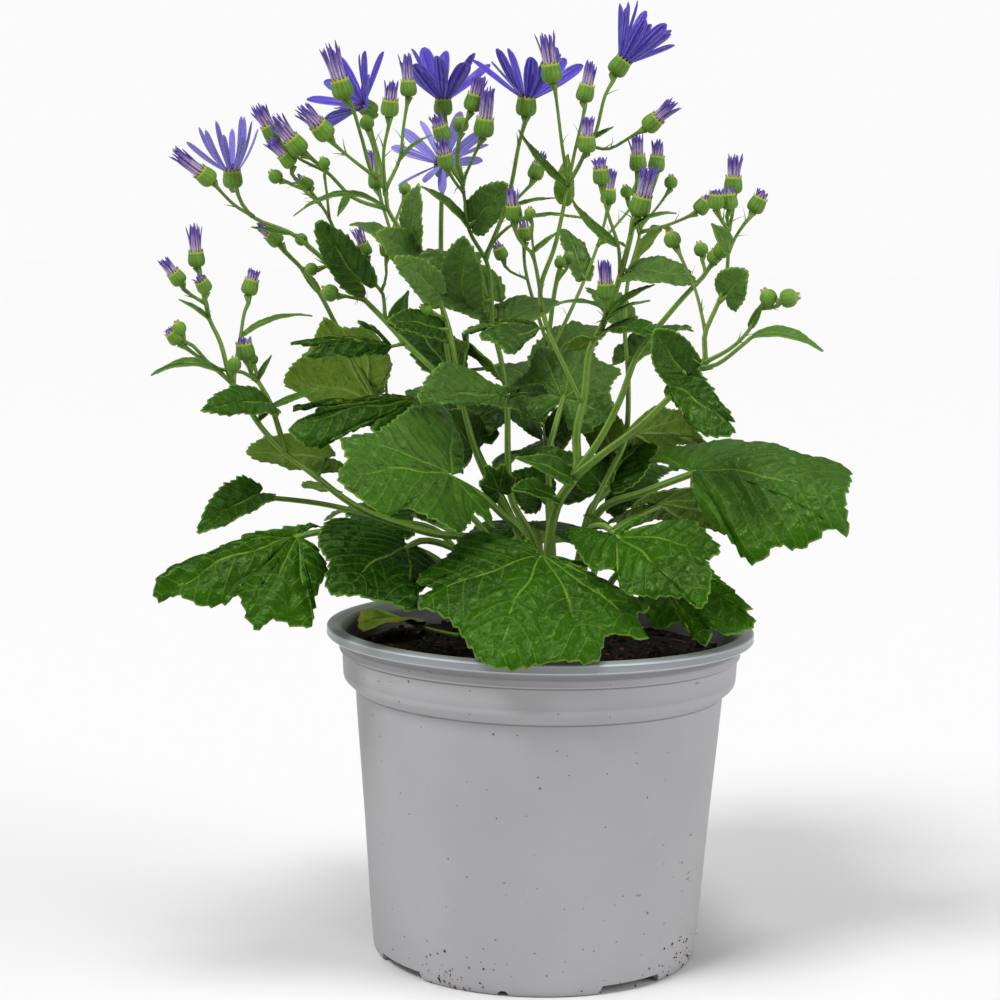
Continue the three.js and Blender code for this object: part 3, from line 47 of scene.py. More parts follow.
def addCamera():
    pitch, yaw, roll = (math.radians(view[key]) for key in ("pitch", "yaw", "roll"))
    ahead = Vector((math.sin(yaw) * math.cos(pitch), math.cos(yaw) * math.cos(pitch), math.sin(pitch)))
    right = ahead.cross(Vector((0, 0, 1))).normalized()
    upward = right.cross(ahead)
    rolledRight = math.cos(roll) * right + math.sin(roll) * upward
    rolledUp = math.cos(roll) * upward - math.sin(roll) * right
    bpy.ops.object.camera_add()
    camera = bpy.context.object
    turn = Matrix((rolledRight, rolledUp, -ahead)).transposed().to_4x4()
    camera.matrix_world = Matrix.Translation(Vector(view["place"]) * millimetre) @ turn
    camera.data.lens = view["lens"]
    camera.data.sensor_width = 36
    camera.data.clip_start, camera.data.clip_end = 0.01, 20
    bpy.context.scene.camera = camera


lights = {
    "keyLight": {"aim": (0.6, 0.6, -1.1), "softness": 20, "power": 2.0},
    "fillLight": {"aim": (-1.0, 0.3, -0.4), "softness": 45, "power": 1.45},
    "topLight": {"aim": (-0.05, 0.12, -1.0), "softness": 20, "power": 1.2},
    "sideLight": {"aim": (1.0, 0.25, -0.3), "softness": 45, "power": 0.45},
}
worldGlow = {"glow": (0.27, 0.27, 0.27, 1), "backdrop": (0.965, 0.965, 0.965, 1)}
floorFinish = {"colour": (0.73, 0.73, 0.73, 1), "roughness": 0.9, "size": 40}


def addLights():
    for name, light in lights.items():
        bpy.ops.object.light_add(type="SUN", location=-Vector(light["aim"]))
        lamp = bpy.context.object
        lamp.name = name
        lamp.rotation_euler = Vector(light["aim"]).to_track_quat("-Z", "Y").to_euler()
        lamp.data.angle = math.radians(light["softness"])
        lamp.data.energy = light["power"]
    world = bpy.data.worlds.new("studioGlow")
    world.use_nodes = True
    nodes, links = world.node_tree.nodes, world.node_tree.links
    seen, colour = nodes.new("ShaderNodeLightPath"), nodes.new("ShaderNodeMix")
    colour.data_type = "RGBA"
    colour.inputs[6].default_value, colour.inputs[7].default_value = worldGlow["glow"], worldGlow["backdrop"]
    links.new(seen.outputs["Is Camera Ray"], colour.inputs[0])
    links.new(colour.outputs[2], nodes["Background"].inputs["Color"])
    bpy.context.scene.world = world
    bpy.context.scene.view_settings.view_transform = "Standard"


def addFloor():
    bpy.ops.mesh.primitive_plane_add(size=floorFinish["size"])
    floor = bpy.context.object
    floor.name = "floor"
    finish = bpy.data.materials.new("paleFloor")
    finish.use_nodes = True
    shader = finish.node_tree.nodes["Principled BSDF"]
    shader.inputs["Base Color"].default_value = floorFinish["colour"]
    shader.inputs["Roughness"].default_value = floorFinish["roughness"]
    floor.data.materials.append(finish)


addCamera()
addLights()
addFloor()
print("camera, lights and floor are set")

# ---- the plant's plan
# stems: [start radius, end radius, points...]; leaves: [form, base, tip, width, lean to the front in degrees,
# lean to +X in degrees, arch, bow]; buds: [radius, centre, point it faces];
# heads: [name, centre of the green cup, tip of the rays, cup radius], and the smallest have no name
# leaves with an outline of their own, from +180 round to -180: [angle in degrees, share of the length]
ownOutlines = {
  "dark": [
    [42, 0.14], [29, 0.3], [18, 0.57], [13, 0.79], [9, 0.93], [4, 0.73], [0, 1],
    [-1, 0.91], [-3, 0.53], [-17, 0.08], [-35, 0.37], [-52, 0.14], [-53, 0.27],
  ],
  "mid": [
    [41, 0.1], [37, 0.24], [35, 0.41], [30, 0.51], [16, 0.49], [13, 0.89], [8, 0.99],
    [0, 1], [-7, 0.58], [-7, 0.98], [-8, 0.38], [-13, 0.18], [-38, 0.04],
  ],
  "arched": [
    [160, 0.5], [18, 0.36], [10, 0.62], [5, 0.79], [0, 0.99], [-7, 0.92], [-18, 0.81],
    [-31, 0.69], [-39, 0.51], [-43, 0.34], [-53, 0.2], [-137, 0.16], [-160, 0.5],
  ],
  "saddle": [
    [36, 0.22], [31, 0.58], [29, 0.82], [22, 0.84], [14, 0.8], [5, 0.86], [0, 0.47],
    [0, 1], [-2, 0.74], [-2, 0.89], [-61, 0.07],
  ],
  "droop": [
    [77, 0.2], [60, 0.48], [59, 0.35], [16, 0.6], [5, 0.92], [3, 0.82], [0, 1],
    [-15, 0.89], [-21, 0.69], [-22, 0.45], [-51, 0.15],
  ],
  "pale": [
    [133, 0.23], [120, 0.73], [109, 0.9], [94, 0.91], [73, 0.84], [63, 0.93], [33, 0.78],
    [17, 0.86], [0, 1], [-12, 0.91], [-23, 0.77], [-29, 0.57], [-53, 0.14],
  ],
  "front": [
    [102, 0.6], [92, 0.11], [79, 0.71], [69, 0.7], [60, 0.88], [46, 0.76], [37, 0.9],
    [18, 0.89], [0, 1], [-21, 0.82], [-38, 0.86], [-43, 0.72], [-50, 0.79], [-66, 0.55],
    [-100, 0.48], [-131, 0.15], [-137, 0.39],
  ],
  "midleft": [
    [151, 0.33], [121, 0.48], [101, 0.34], [71, 0.57], [49, 0.6], [28, 0.67], [26, 0.88],
    [12, 0.95], [0, 1], [-8, 0.89], [-22, 0.89], [-33, 0.64], [-67, 0.59], [-100, 0.76],
    [-119, 0.94], [-129, 0.69], [-163, 0.17],
  ],
  "right": [
    [168, 0.12], [146, 0.5], [110, 0.42], [75, 0.42], [50, 0.52], [33, 0.62], [22, 0.92],
    [12, 0.96], [-1, 0.98], [-11, 1.09], [-13, 0.99], [-24, 0.92], [-31, 0.82], [-42, 0.81],
    [-51, 0.5], [-61, 0.32], [-67, 0.1],
  ],
  "rightlow": [
    [175, 0.67], [169, 0.39], [166, 0.09], [91, 0.29], [70, 0.05], [54, 0.49], [41, 0.68],
    [28, 0.85], [19, 0.8], [15, 0.89], [0, 1.01], [-4, 0.85], [-21, 0.67], [-32, 0.6],
    [-39, 0.33], [-78, 0.34], [-170, 0.67],
  ],
  "rim": [
    [150, 0.1], [110, 0.45], [21, 0.5], [9, 0.68], [5, 0.91], [1, 0.89], [-1, 1.01],
    [-14, 0.97], [-17, 0.87], [-23, 0.96], [-26, 0.88], [-29, 0.7], [-44, 0.66], [-54, 0.41],
    [-150, 0.1],
  ],
  "farleft": [
    [128, 0.1], [101, 0.3], [74, 0.48], [70, 0.66], [50, 0.64], [43, 0.75], [25, 0.6],
    [23, 0.67], [14, 0.8], [3, 0.88], [0, 0.99], [-7, 0.93], [-8, 0.65], [-27, 0.21],
    [-168, 0.19],
  ],
  "leftdark": [
    [170, 0.17], [116, 0.25], [63, 0.5], [43, 0.65], [37, 0.85], [22, 0.83], [9, 0.88],
    [0, 0.99], [-9, 0.95], [-20, 0.78], [-42, 0.76], [-72, 0.67], [-91, 0.52], [-106, 0.33],
    [-141, 0.32],
  ],
}

shoots = {
  "shoot_left": {
    "stems": [
      [2.2, 0.8, [-14, -4, 119], [-14, -4, 141], [-25, -10, 184], [-49, -18, 190], [-73, -24, 198],
        [-85, -28, 205], [-100, -31, 217], [-111, -31, 225], [-121, -33, 236], [-129, -33, 248],
        [-134, -32, 255], [-139, -31, 272], [-144, -30, 282], [-146, -29, 290], [-148, -28, 296],
        [-149, -27, 304]],
      [0.7, 0.6, [-146, -29, 288], [-152, -31, 292], [-156, -33, 296]],
      [0.7, 0.6, [-144, -30, 283], [-144, -37, 289], [-145, -38, 292]],
      [0.8, 0.7, [-133, -32, 254], [-133, -24, 265], [-132, -18, 275], [-131, -15, 284], [-129, -13, 290]],
      [0.8, 0.7, [-134, -32, 254], [-143, -36, 263], [-150, -39, 271], [-154, -40, 273]],
      [0.7, 0.6, [-133, -33, 256], [-133, -37, 260]],
      [1.3, 1, [-111, -31, 225], [-114, -27, 234], [-119, -24, 247], [-124, -23, 255]],
      [0.8, 0.7, [-124, -23, 255], [-130, -27, 259], [-140, -34, 261]],
      [0.8, 0.7, [-124, -23, 255], [-127, -24, 259], [-128, -26, 265]],
      [0.7, 0.6, [-123, -23, 255], [-125, -19, 257], [-126, -17, 261]],
    ],
    "leaves": [
      ["lance", [-142, -30, 281], [-156, -38, 290], 5, 30, 0, 1, 0],
      ["lance", [-137, -33, 255], [-166, -50, 258], 9, 30, 0, 7, 0],
      ["lance", [-131, -18, 273], [-102, -8, 283], 5, 25, 0, 4, 0],
      ["oval", [-117, -26, 246], [-142, -60, 244], 17, 55, 0, 3, 0],
      ["lance", [-116, -25, 245], [-92, -40, 255], 5, 45, 0, 0, 0],
      ["lance", [-118, -25, 246], [-122, -38, 238], 5, 60, 0, 0, 0],
      ["lance", [-124, -22, 257], [-117, -30, 267], 4, 50, 0, 0, 0],
      ["oval", [-93, -22, 222], [-132, 0, 221], 24, -50, 0, 1, 0],
      ["oval", [-90, -26, 209], [-106, -2, 207], 12, -40, 0, 0, 0],
    ],
    "buds": [
      [3, [-132, -38, 263], [-132, -38, 266]], [2.3, [-127, -16, 264], [-127, -15, 268]],
      [3, [-155, -41, 278], [-156, -42, 281]],
    ],
    "heads": [
      ["h23", [-150, -27, 307], [-151, -29, 322], 3.6], ["h24", [-157, -34, 299], [-163, -37, 307], 3.4],
      ["h26", [-129, -12, 295], [-127, -11, 303], 3.6], ["", [-145, -39, 296], [-147, -41, 300], 3.2],
      ["", [-129, -26, 268], [-130, -27, 274], 4], ["", [-157, -40, 274], [-160, -41, 278], 3.2],
    ],
  },
  "shoot_mid_left": {
    "stems": [
      [1.9, 0.7, [-6, -8, 119], [-6, -8, 141], [-7, -9, 186], [-19, -13, 204], [-29, -15, 224],
        [-36, -15, 248], [-39, -14, 264], [-43, -12, 281], [-51, -9, 300], [-59, -8, 311], [-65, -8, 322],
        [-70, -8, 330], [-71, -8, 338], [-77, -10, 346], [-81, -14, 360], [-86, -18, 375]],
      [0.8, 0.6, [-75, -10, 343], [-85, -22, 351], [-93, -28, 358]],
      [0.8, 0.6, [-71, -8, 338], [-71, -20, 354], [-68, -27, 368]],
      [0.8, 0.6, [-71, -8, 338], [-65, -4, 352], [-64, -2, 364], [-62, 0, 378]],
      [0.9, 0.7, [-71, -8, 336], [-75, 10, 351], [-80, 19, 369]],
      [0.9, 0.7, [-70, -8, 330], [-79, -6, 332], [-86, -6, 335], [-95, -8, 344], [-106, -12, 353]],
      [0.7, 0.6, [-97, -9, 345], [-109, -4, 351], [-118, -2, 358]],
      [0.7, 0.6, [-73, -9, 344], [-76, -2, 353], [-79, 0, 363]],
      [1.4, 0.8, [-36, -15, 251], [-49, -10, 261], [-63, -2, 273], [-71, 2, 281], [-83, 8, 292],
        [-97, 11, 305], [-113, 12, 318], [-130, 10, 325], [-136, 8, 332], [-138, 8, 338]],
      [0.8, 0.6, [-131, 10, 326], [-137, -10, 331], [-143, -23, 339]],
      [0.8, 0.6, [-84, 8, 293], [-89, 2, 307], [-94, -4, 322], [-99, -6, 331], [-107, -8, 338],
        [-112, -9, 346]],
      [0.6, 0.5, [-107, -8, 338], [-113, -6, 340], [-116, -5, 342]],
      [0.6, 0.5, [-99, -6, 331], [-103, -3, 336], [-105, -2, 337]],
      [0.6, 0.5, [-96, -5, 325], [-96, -10, 335], [-97, -12, 346]],
      [0.8, 0.7, [-71, 2, 281], [-73, 6, 294], [-77, 8, 297], [-80, 10, 308]],
      [0.6, 0.5, [-73, 6, 294], [-71, 4, 300], [-71, 2, 309]],
      [0.6, 0.5, [-80, 7, 290], [-86, 0, 291], [-91, -2, 292]],
      [0.6, 0.5, [-96, 11, 305], [-99, 5, 304], [-101, 4, 303]],
      [0.6, 0.5, [-102, 12, 310], [-106, 14, 312], [-108, 15, 314]],
      [0.6, 0.5, [-44, -12, 283], [-48, -16, 285], [-50, -17, 286]],
    ],
    "leaves": [
      ["lance", [-70, -8, 329], [-109, -24, 326], 6, 30, 0, 9, 0],
      ["lance", [-113, 12, 318], [-133, 20, 321], 6, 20, 0, 0, 0],
      ["oval", [-81, 0, 297], [-100, -14, 324], 17, 60, 0, -2, 0],
      ["oval", [-58, -11, 316], [-55, -24, 340], 15, 70, -50, 2, 0],
      ["oval", [-56, -10, 306], [-73, -22, 320], 17, 60, 0, 2, 0],
      ["oval", [-45, -12, 292], [-66, -26, 309], 15, 60, 0, 2, 0],
      ["lance", [-66, -3, 280], [-60, -12, 295], 10, 60, 0, 0, 0],
      ["dark", [-64, -4, 270], [-109, -34, 271], 54.1, 50, 0, 4, 0],
      ["oval", [-43, -13, 278], [-68, -30, 282], 14, 55, 0, 2, 0],
      ["lance", [-67, -4, 349], [-51, -8, 362], 3.5, 30, 0, 2, 0],
      ["mid", [-56, -6, 247], [-108, -34, 237], 59.9, 64, 0, 4, 3],
      ["lobed", [-19, -17, 209], [-25, -24, 221], 19, 60, 0, 1, 0],
      ["lance", [-87, -6, 336], [-91, -16, 326], 4, 40, 0, 0, 0],
    ],
    "buds": [
      [3.2, [-80, 1, 367], [-81, 1, 371]], [3.1, [-119, -5, 343], [-121, -5, 345]],
      [2.5, [-97, -13, 349], [-98, -13, 351]], [3.8, [-95, -3, 293], [-99, -4, 295]],
      [2.9, [-104, 3, 303], [-107, 2, 303]], [2.8, [-110, 16, 316], [-113, 17, 318]],
      [2.7, [-52, -18, 287], [-55, -19, 289]],
    ],
    "heads": [
      ["h2", [-89, -19, 380], [-95, -22, 399], 4.6], ["h5", [-96, -30, 362], [-105, -36, 372], 4.4],
      ["h7", [-68, -28, 372], [-67, -30, 383], 3.8], ["h6", [-62, 0, 382], [-63, 0, 397], 3.6],
      ["f2", [-81, 20, 374], [-98, 10, 386], 4], ["h3", [-109, -13, 356], [-119, -16, 368], 4.4],
      ["h3b", [-121, -2, 362], [-128, -4, 374], 4], ["f1", [-140, 11, 342], [-141, 7, 364], 4.3],
      ["h1", [-146, -26, 342], [-159, -33, 352], 4], ["h4", [-113, -10, 350], [-121, -12, 359], 3.4],
      ["", [-106, -1, 340], [-111, 0, 343], 3], ["", [-81, 10, 312], [-85, 10, 322], 3],
      ["", [-71, 1, 312], [-72, 1, 316], 2.8],
    ],
  },
  "shoot_centre": {
    "stems": [
      [2.1, 0.6, [0, 2, 119], [0, 2, 141], [-3, 5, 182], [-14, 10, 202], [-16, 13, 219], [-17, 14, 246],
        [-20, 16, 264], [-24, 18, 279], [-25, 18, 294], [-27, 18, 307], [-35, 15, 321], [-37, 13, 333],
        [-38, 12, 342], [-35, 9, 350], [-30, 6, 361]],
      [0.8, 0.6, [-38, 12, 342], [-41, 12, 351], [-40, 11, 362], [-35, 10, 373]],
      [0.7, 0.6, [-37, 12, 338], [-41, 0, 342], [-44, -7, 347]],
      [0.7, 0.6, [-38, 12, 341], [-44, 2, 350], [-46, -2, 359]],
      [0.8, 0.7, [-38, 12, 341], [-46, 36, 357], [-48, 43, 374]],
      [0.7, 0.6, [-38, 12, 342], [-41, 24, 357], [-40, 24, 364]],
      [1.1, 0.8, [-28, 18, 309], [-21, 22, 327], [-17, 26, 342], [-14, 30, 360], [-11, 31, 372]],
      [0.7, 0.6, [-21, 22, 326], [-14, 27, 336], [-7, 33, 344]],
    ],
    "leaves": [
      ["lance", [-36, 15, 321], [-56, -6, 340], 11, 40, 0, 2, 0],
      ["oval", [-35, 16, 323], [-18, 0, 342], 17, 60, 10, 0, 0],
      ["oval", [-37, 17, 290], [-37, 2, 319], 20, 62, -10, 2, 0],
      ["arched", [-19, -14, 250], [-54, -42, 249], 44.8, 60, 0, 3, 0],
      ["oval", [-37, 15, 258], [-38, 34, 274], 20, -50, 0, 1, 0],
      ["lance", [-20, 22, 329], [3, 8, 336], 5, 30, 0, 2, 0],
      ["lance", [-26, 19, 312], [15, -22, 327], 6, 30, 0, 8, 0],
      ["oval", [-19, 15, 255], [-49, 34, 272], 20, -30, 0, 2, 0],
      ["oval", [-22, 21, 277], [5, 40, 290], 26, 20, 0, 3, 0],
      ["oval", [-26, 26, 290], [-68, 25, 308], 27, 55, 0, 3, 0],
      ["oval", [-16, 6, 248], [2, -20, 251], 12, 40, 0, 2, 0],
    ],
    "buds": [
      [3.6, [-40, 24, 368], [-41, 24, 373]],
    ],
    "heads": [
      ["h9", [-29, 5, 366], [-27, 3, 384], 4.4], ["h8", [-34, 10, 377], [-31, 9, 389], 4],
      ["h33", [-45, -10, 351], [-47, -13, 360], 3.6], ["h33b", [-47, -2, 363], [-50, -4, 371], 3.8],
      ["f3", [-49, 46, 377], [-49, 42, 404], 4.2], ["f5", [-11, 32, 377], [-10, 28, 404], 4.6],
      ["h34", [-6, 34, 348], [-3, 36, 357], 3.6],
    ],
  },
  "shoot_right": {
    "stems": [
      [2.8, 1.1, [6, -8, 119], [6, -8, 141], [3, -12, 185], [7, -16, 205], [14, -18, 217], [14, -17, 236],
        [17, -16, 251], [19, -15, 271], [24, -14, 281], [29, -16, 295], [32, -18, 306], [35, -20, 319],
        [37, -22, 329]],
      [0.8, 0.6, [32, -18, 303], [30, -22, 316], [26, -25, 327], [22, -26, 341]],
      [0.6, 0.5, [24, -15, 282], [25, -26, 288], [26, -30, 293]],
      [1.3, 0.6, [16, -16, 248], [7, -13, 266], [0, -8, 281], [-3, -4, 296], [3, 0, 315], [7, 3, 335],
        [8, 4, 341], [5, -2, 360], [1, -7, 385]],
      [0.8, 0.6, [8, 4, 341], [11, 8, 357], [15, 12, 378]],
      [0.7, 0.6, [8, 4, 341], [13, -3, 350], [15, -8, 355]],
      [0.9, 0.7, [8, 4, 341], [14, 14, 353], [20, 20, 365], [24, 25, 382], [28, 28, 390]],
      [0.7, 0.6, [18, 18, 359], [26, 10, 358], [35, 4, 363], [40, 2, 366]],
      [0.9, 0.7, [-1, -7, 287], [-4, -12, 301], [-7, -14, 312], [-12, -15, 317], [-15, -16, 325]],
      [0.5, 0.5, [-6, -13, 308], [-7, -18, 320], [-7, -19, 327]],
      [1.7, 0.9, [14, -18, 217], [24, -24, 233], [32, -28, 250], [39, -30, 270], [46, -31, 280],
        [57, -33, 294], [66, -34, 304], [69, -35, 309]],
      [0.6, 0.5, [67, -34, 305], [66, -30, 309], [65, -29, 312]],
      [0.6, 0.5, [68, -34, 307], [71, -37, 310], [72, -38, 312]],
      [1.8, 0.6, [14, -18, 216], [24, -27, 226], [41, -40, 241], [52, -47, 253], [60, -50, 261],
        [66, -51, 268], [66, -50, 280], [70, -49, 290], [74, -48, 301], [75, -47, 315], [75, -46, 324],
        [74, -46, 331]],
      [0.7, 0.6, [75, -46, 323], [71, -50, 328], [70, -51, 331]],
      [0.7, 0.6, [75, -46, 323], [77, -41, 332], [77, -39, 338]],
      [0.7, 0.6, [75, -47, 314], [79, -43, 322], [85, -40, 330]],
      [0.7, 0.6, [66, -50, 281], [62, -45, 298], [58, -43, 307], [54, -42, 315]],
      [0.9, 0.7, [66, -51, 268], [77, -55, 275], [84, -58, 283], [89, -60, 293]],
      [0.6, 0.5, [89, -60, 291], [93, -61, 292], [96, -62, 294]],
      [0.9, 0.8, [65, -51, 266], [71, -56, 268], [80, -64, 276], [84, -67, 280]],
    ],
    "leaves": [
      ["lance", [8, 4, 341], [-14, -8, 365], 6, 40, 0, -2, 0],
      ["lance", [7, 4, 333], [8, 18, 356], 11, -40, 0, 0, 0],
      ["lance", [30, -22, 316], [9, -36, 336], 6, 50, 0, -3, 0],
      ["lance", [36, -21, 321], [54, -34, 330], 6, 30, 0, 3, 0],
      ["oval", [36, -17, 305], [63, -38, 300], 17, 45, 0, 3, 0],
      ["lance", [25, -14, 285], [46, -30, 300], 7, 40, 0, 2, 0],
      ["lance", [23, -14, 283], [44, -34, 293], 6, 30, 0, 2, 0],
      ["lance", [26, -15, 287], [4, -34, 291], 5, 30, 0, 3, 0],
      ["saddle", [0, -9, 280], [-36, -40, 277], 47.6, 45, 0, 4, 0],
      ["oval", [5, -21, 207], [-13, -36, 212], 13, 40, 0, 2, 0],
      ["oval", [12, -12, 220], [-11, -3, 223], 12, 50, 0, 2, 0],
      ["oval", [22, -15, 278], [49, -46, 278], 13, 35, 0, 4, 0],
      ["lance", [22, -14, 274], [9, 6, 269], 11, -50, 0, 0, 0],
      ["oval", [73, -48, 293], [82, -58, 307], 17, 55, 0, 1, 0],
      ["lance", [76, -47, 315], [67, -54, 326], 11, 50, 0, 0, 0],
      ["droop", [51, -50, 259], [77, -78, 242], 41.8, 60, 0, 4, 3],
      ["oval", [60, -51, 261], [45, -60, 282], 19, 65, 0, -2, 0],
      ["lance", [65, -50, 267], [55, -38, 274], 9, -20, 0, 0, 0],
      ["lance", [83, -67, 280], [112, -80, 275], 10, 30, 0, 5, 0],
      ["lance", [84, -58, 283], [89, -62, 295], 4, 60, 0, 0, 0],
      ["lance", [21, 20, 362], [28, 16, 368], 3.5, 40, 0, 0, 0],
      ["lance", [-7, -14, 312], [5, -20, 322], 4, 40, 0, 0, 0],
      ["lance", [10, -17, 216], [-12, -42, 226], 14, 55, 0, 2, 0],
    ],
    "buds": [
      [2.5, [-8, -19, 329], [-8, -20, 332]], [3.1, [70, -36, 312], [70, -36, 315]],
      [3.1, [65, -28, 315], [64, -28, 318]], [3.5, [73, -39, 315], [75, -40, 319]],
      [3.6, [52, -41, 319], [50, -41, 323]], [3.6, [91, -60, 296], [89, -60, 299]],
      [3.9, [99, -63, 296], [103, -64, 297]],
    ],
    "heads": [
      ["h17", [39, -23, 333], [43, -26, 350], 4.6], ["h13", [22, -26, 345], [21, -27, 353], 3.6],
      ["h32", [25, -31, 297], [24, -34, 310], 3.8], ["h10", [0, -8, 389], [-3, -10, 406], 4.4],
      ["h11", [15, 13, 382], [18, 14, 396], 3.9], ["h12", [16, -9, 359], [16, -10, 371], 3.8],
      ["f6", [30, 29, 395], [44, 26, 415], 4.4], ["h14", [44, 0, 369], [54, -4, 378], 4],
      ["", [-15, -16, 329], [-16, -17, 340], 3.6], ["", [75, -46, 335], [74, -46, 341], 3.4],
      ["", [69, -52, 335], [69, -53, 340], 3.4], ["h18", [77, -38, 342], [77, -39, 355], 3.8],
      ["h22", [87, -38, 334], [90, -38, 340], 3.6],
    ],
  },
  "shoot_inner_left": {
    "stems": [
      [1.7, 0.9, [-11, 8, 119], [-11, 8, 141], [-22, 14, 181], [-47, 24, 206], [-66, 30, 228],
        [-76, 31, 243], [-89, 30, 266], [-95, 29, 277], [-103, 28, 292], [-111, 27, 303], [-119, 26, 311]],
      [0.7, 0.6, [-71, 31, 235], [-72, 27, 249], [-73, 25, 262]],
      [1.2, 1.2, [-69, 31, 233], [-73, 36, 238], [-74, 40, 242]],
    ],
    "leaves": [
      ["pale", [-76, 38, 242], [-122, 56, 250], 50, -50, 0, 3, 0],
      ["lance", [-103, 28, 292], [-114, 34, 306], 5, 20, 0, 0, 0],
      ["oval", [-63, 30, 225], [-88, 75, 207], 22, -10, -20, 4, 0],
    ],
    "buds": [
      [2.8, [-74, 25, 266], [-74, 25, 270]],
    ],
    "heads": [
      ["h27", [-123, 26, 316], [-131, 26, 323], 3.6],
    ],
  },
  "shoot_back_right": {
    "stems": [
      [1.9, 0.6, [14, 3, 119], [14, 3, 141], [21, 20, 192], [30, 30, 212], [37, 36, 227], [38, 40, 255],
        [36, 43, 277], [37, 46, 300], [42, 46, 323], [40, 42, 336], [40, 40, 349]],
      [0.7, 0.6, [42, 46, 323], [46, 50, 337], [49, 51, 348]],
      [0.8, 0.6, [42, 46, 322], [56, 48, 326], [67, 48, 331]],
      [0.6, 0.5, [42, 46, 321], [38, 40, 330], [35, 38, 337]],
      [0.6, 0.5, [42, 46, 324], [51, 54, 335], [55, 55, 341]],
    ],
    "leaves": [
      ["oval", [37, 46, 302], [53, 62, 323], 19, -35, 0, 2, 0],
      ["lobed", [39, 37, 230], [77, 62, 223], 44, -48, 0, 4, 0],
      ["oval", [37, 41, 264], [69, 90, 276], 20, 0, 0, 5, 0],
      ["oval", [34, 34, 221], [14, 46, 240], 24, -55, 0, 3, 0],
      ["oval", [29, 30, 207], [50, 62, 225], 26, 10, 10, 4, 0],
      ["oval", [28, 28, 206], [14, 44, 217], 20, 48, 0, 2, 0],
      ["oval", [36, 43, 280], [20, 85, 294], 16, 0, 0, 4, 0],
      ["lance", [47, 47, 325], [60, 70, 319], 6, 0, 0, 3, 0],
    ],
    "buds": [
      [2.8, [35, 38, 340], [34, 38, 344]], [3.1, [56, 56, 345], [56, 56, 349]],
    ],
    "heads": [
      ["h15", [40, 40, 353], [39, 40, 366], 3.9], ["h16", [49, 52, 353], [50, 53, 364], 3.8],
      ["", [70, 48, 334], [74, 48, 339], 3.6],
    ],
  },
  "shoot_back_left": {
    "stems": [
      [1.8, 1, [-3, 14, 119], [-3, 14, 141], [-12, 30, 186], [-29, 48, 216], [-41, 58, 243], [-47, 64, 270],
        [-50, 68, 307], [-50, 70, 344]],
      [0.9, 0.7, [-47, 64, 275], [-68, 84, 302], [-78, 92, 328], [-82, 94, 340]],
      [0.7, 0.6, [-75, 90, 319], [-72, 104, 331], [-70, 108, 337]],
    ],
    "leaves": [
      ["oval", [-45, 61, 256], [-71, 105, 273], 24, 0, -15, 6, 0],
      ["oval", [-31, 46, 218], [-48, 36, 238], 25, 50, 0, 3, 0],
      ["oval", [-36, 54, 230], [-17, 66, 241], 22, 45, 0, 2, 0],
      ["oval", [-49, 65, 287], [-33, 99, 311], 18.5, 2, 0, 4, 0],
      ["oval", [-73, 89, 314], [-96, 105, 323], 12, 10, -10, 3, 0],
      ["oval", [-34, 53, 226], [-64, 120, 242], 34, -5, -10, 6, 0],
    ],
    "buds": [
      [3, [-70, 109, 341], [-70, 110, 345]],
    ],
    "heads": [
      ["f4", [-50, 70, 350], [-52, 54, 367], 4.2], ["h40", [-83, 95, 344], [-85, 98, 359], 3.8],
    ],
  },
  "shoot_back": {
    "stems": [
      [1.8, 1, [6, 12, 119], [6, 12, 141], [3, 32, 190], [1, 56, 220], [0, 68, 252], [2, 76, 280],
        [4, 80, 296], [6, 80, 304]],
      [0.6, 0.5, [4, 80, 298], [9, 84, 304], [10, 85, 306]],
      [0.9, 0.7, [1, 73, 268], [-8, 78, 294], [-11, 78, 307], [-11, 78, 316]],
      [0.6, 0.5, [-10, 78, 299], [-18, 70, 303], [-21, 68, 307]],
      [1, 0.7, [1, 71, 261], [16, 100, 294], [25, 112, 318], [29, 116, 335]],
      [0.7, 0.6, [24, 111, 315], [37, 118, 330], [43, 120, 338]],
    ],
    "leaves": [
      ["oval", [0, 69, 257], [27, 120, 274], 24, 0, 15, 6, 0],
      ["oval", [1, 65, 243], [-27, 118, 253], 26, 0, -10, 6, 0],
      ["oval", [1, 58, 221], [-21, 92, 205], 26, 10, -10, 4, 0],
      ["oval", [0, 60, 231], [-21, 44, 242], 20, 55, -10, 2, 0],
      ["oval", [2, 38, 196], [-14, 40, 211], 22, 50, 0, 2, 0],
      ["oval", [3, 50, 222], [18, 30, 238], 24, 55, 0, 3, 0],
      ["oval", [18, 102, 299], [6, 125, 323], 13, 0, 0, 3, 0],
      ["lance", [24, 111, 315], [41, 130, 313], 6, 0, 0, 3, 0],
    ],
    "buds": [
      [2.9, [6, 80, 307], [5, 80, 311]], [3, [10, 86, 309], [11, 86, 313]],
    ],
    "heads": [
      ["", [-11, 78, 320], [-12, 78, 329], 3.4], ["", [-22, 67, 311], [-25, 66, 317], 3.2],
      ["h41", [29, 117, 339], [30, 119, 354], 3.8], ["", [44, 121, 342], [47, 124, 354], 3.6],
    ],
  },
}

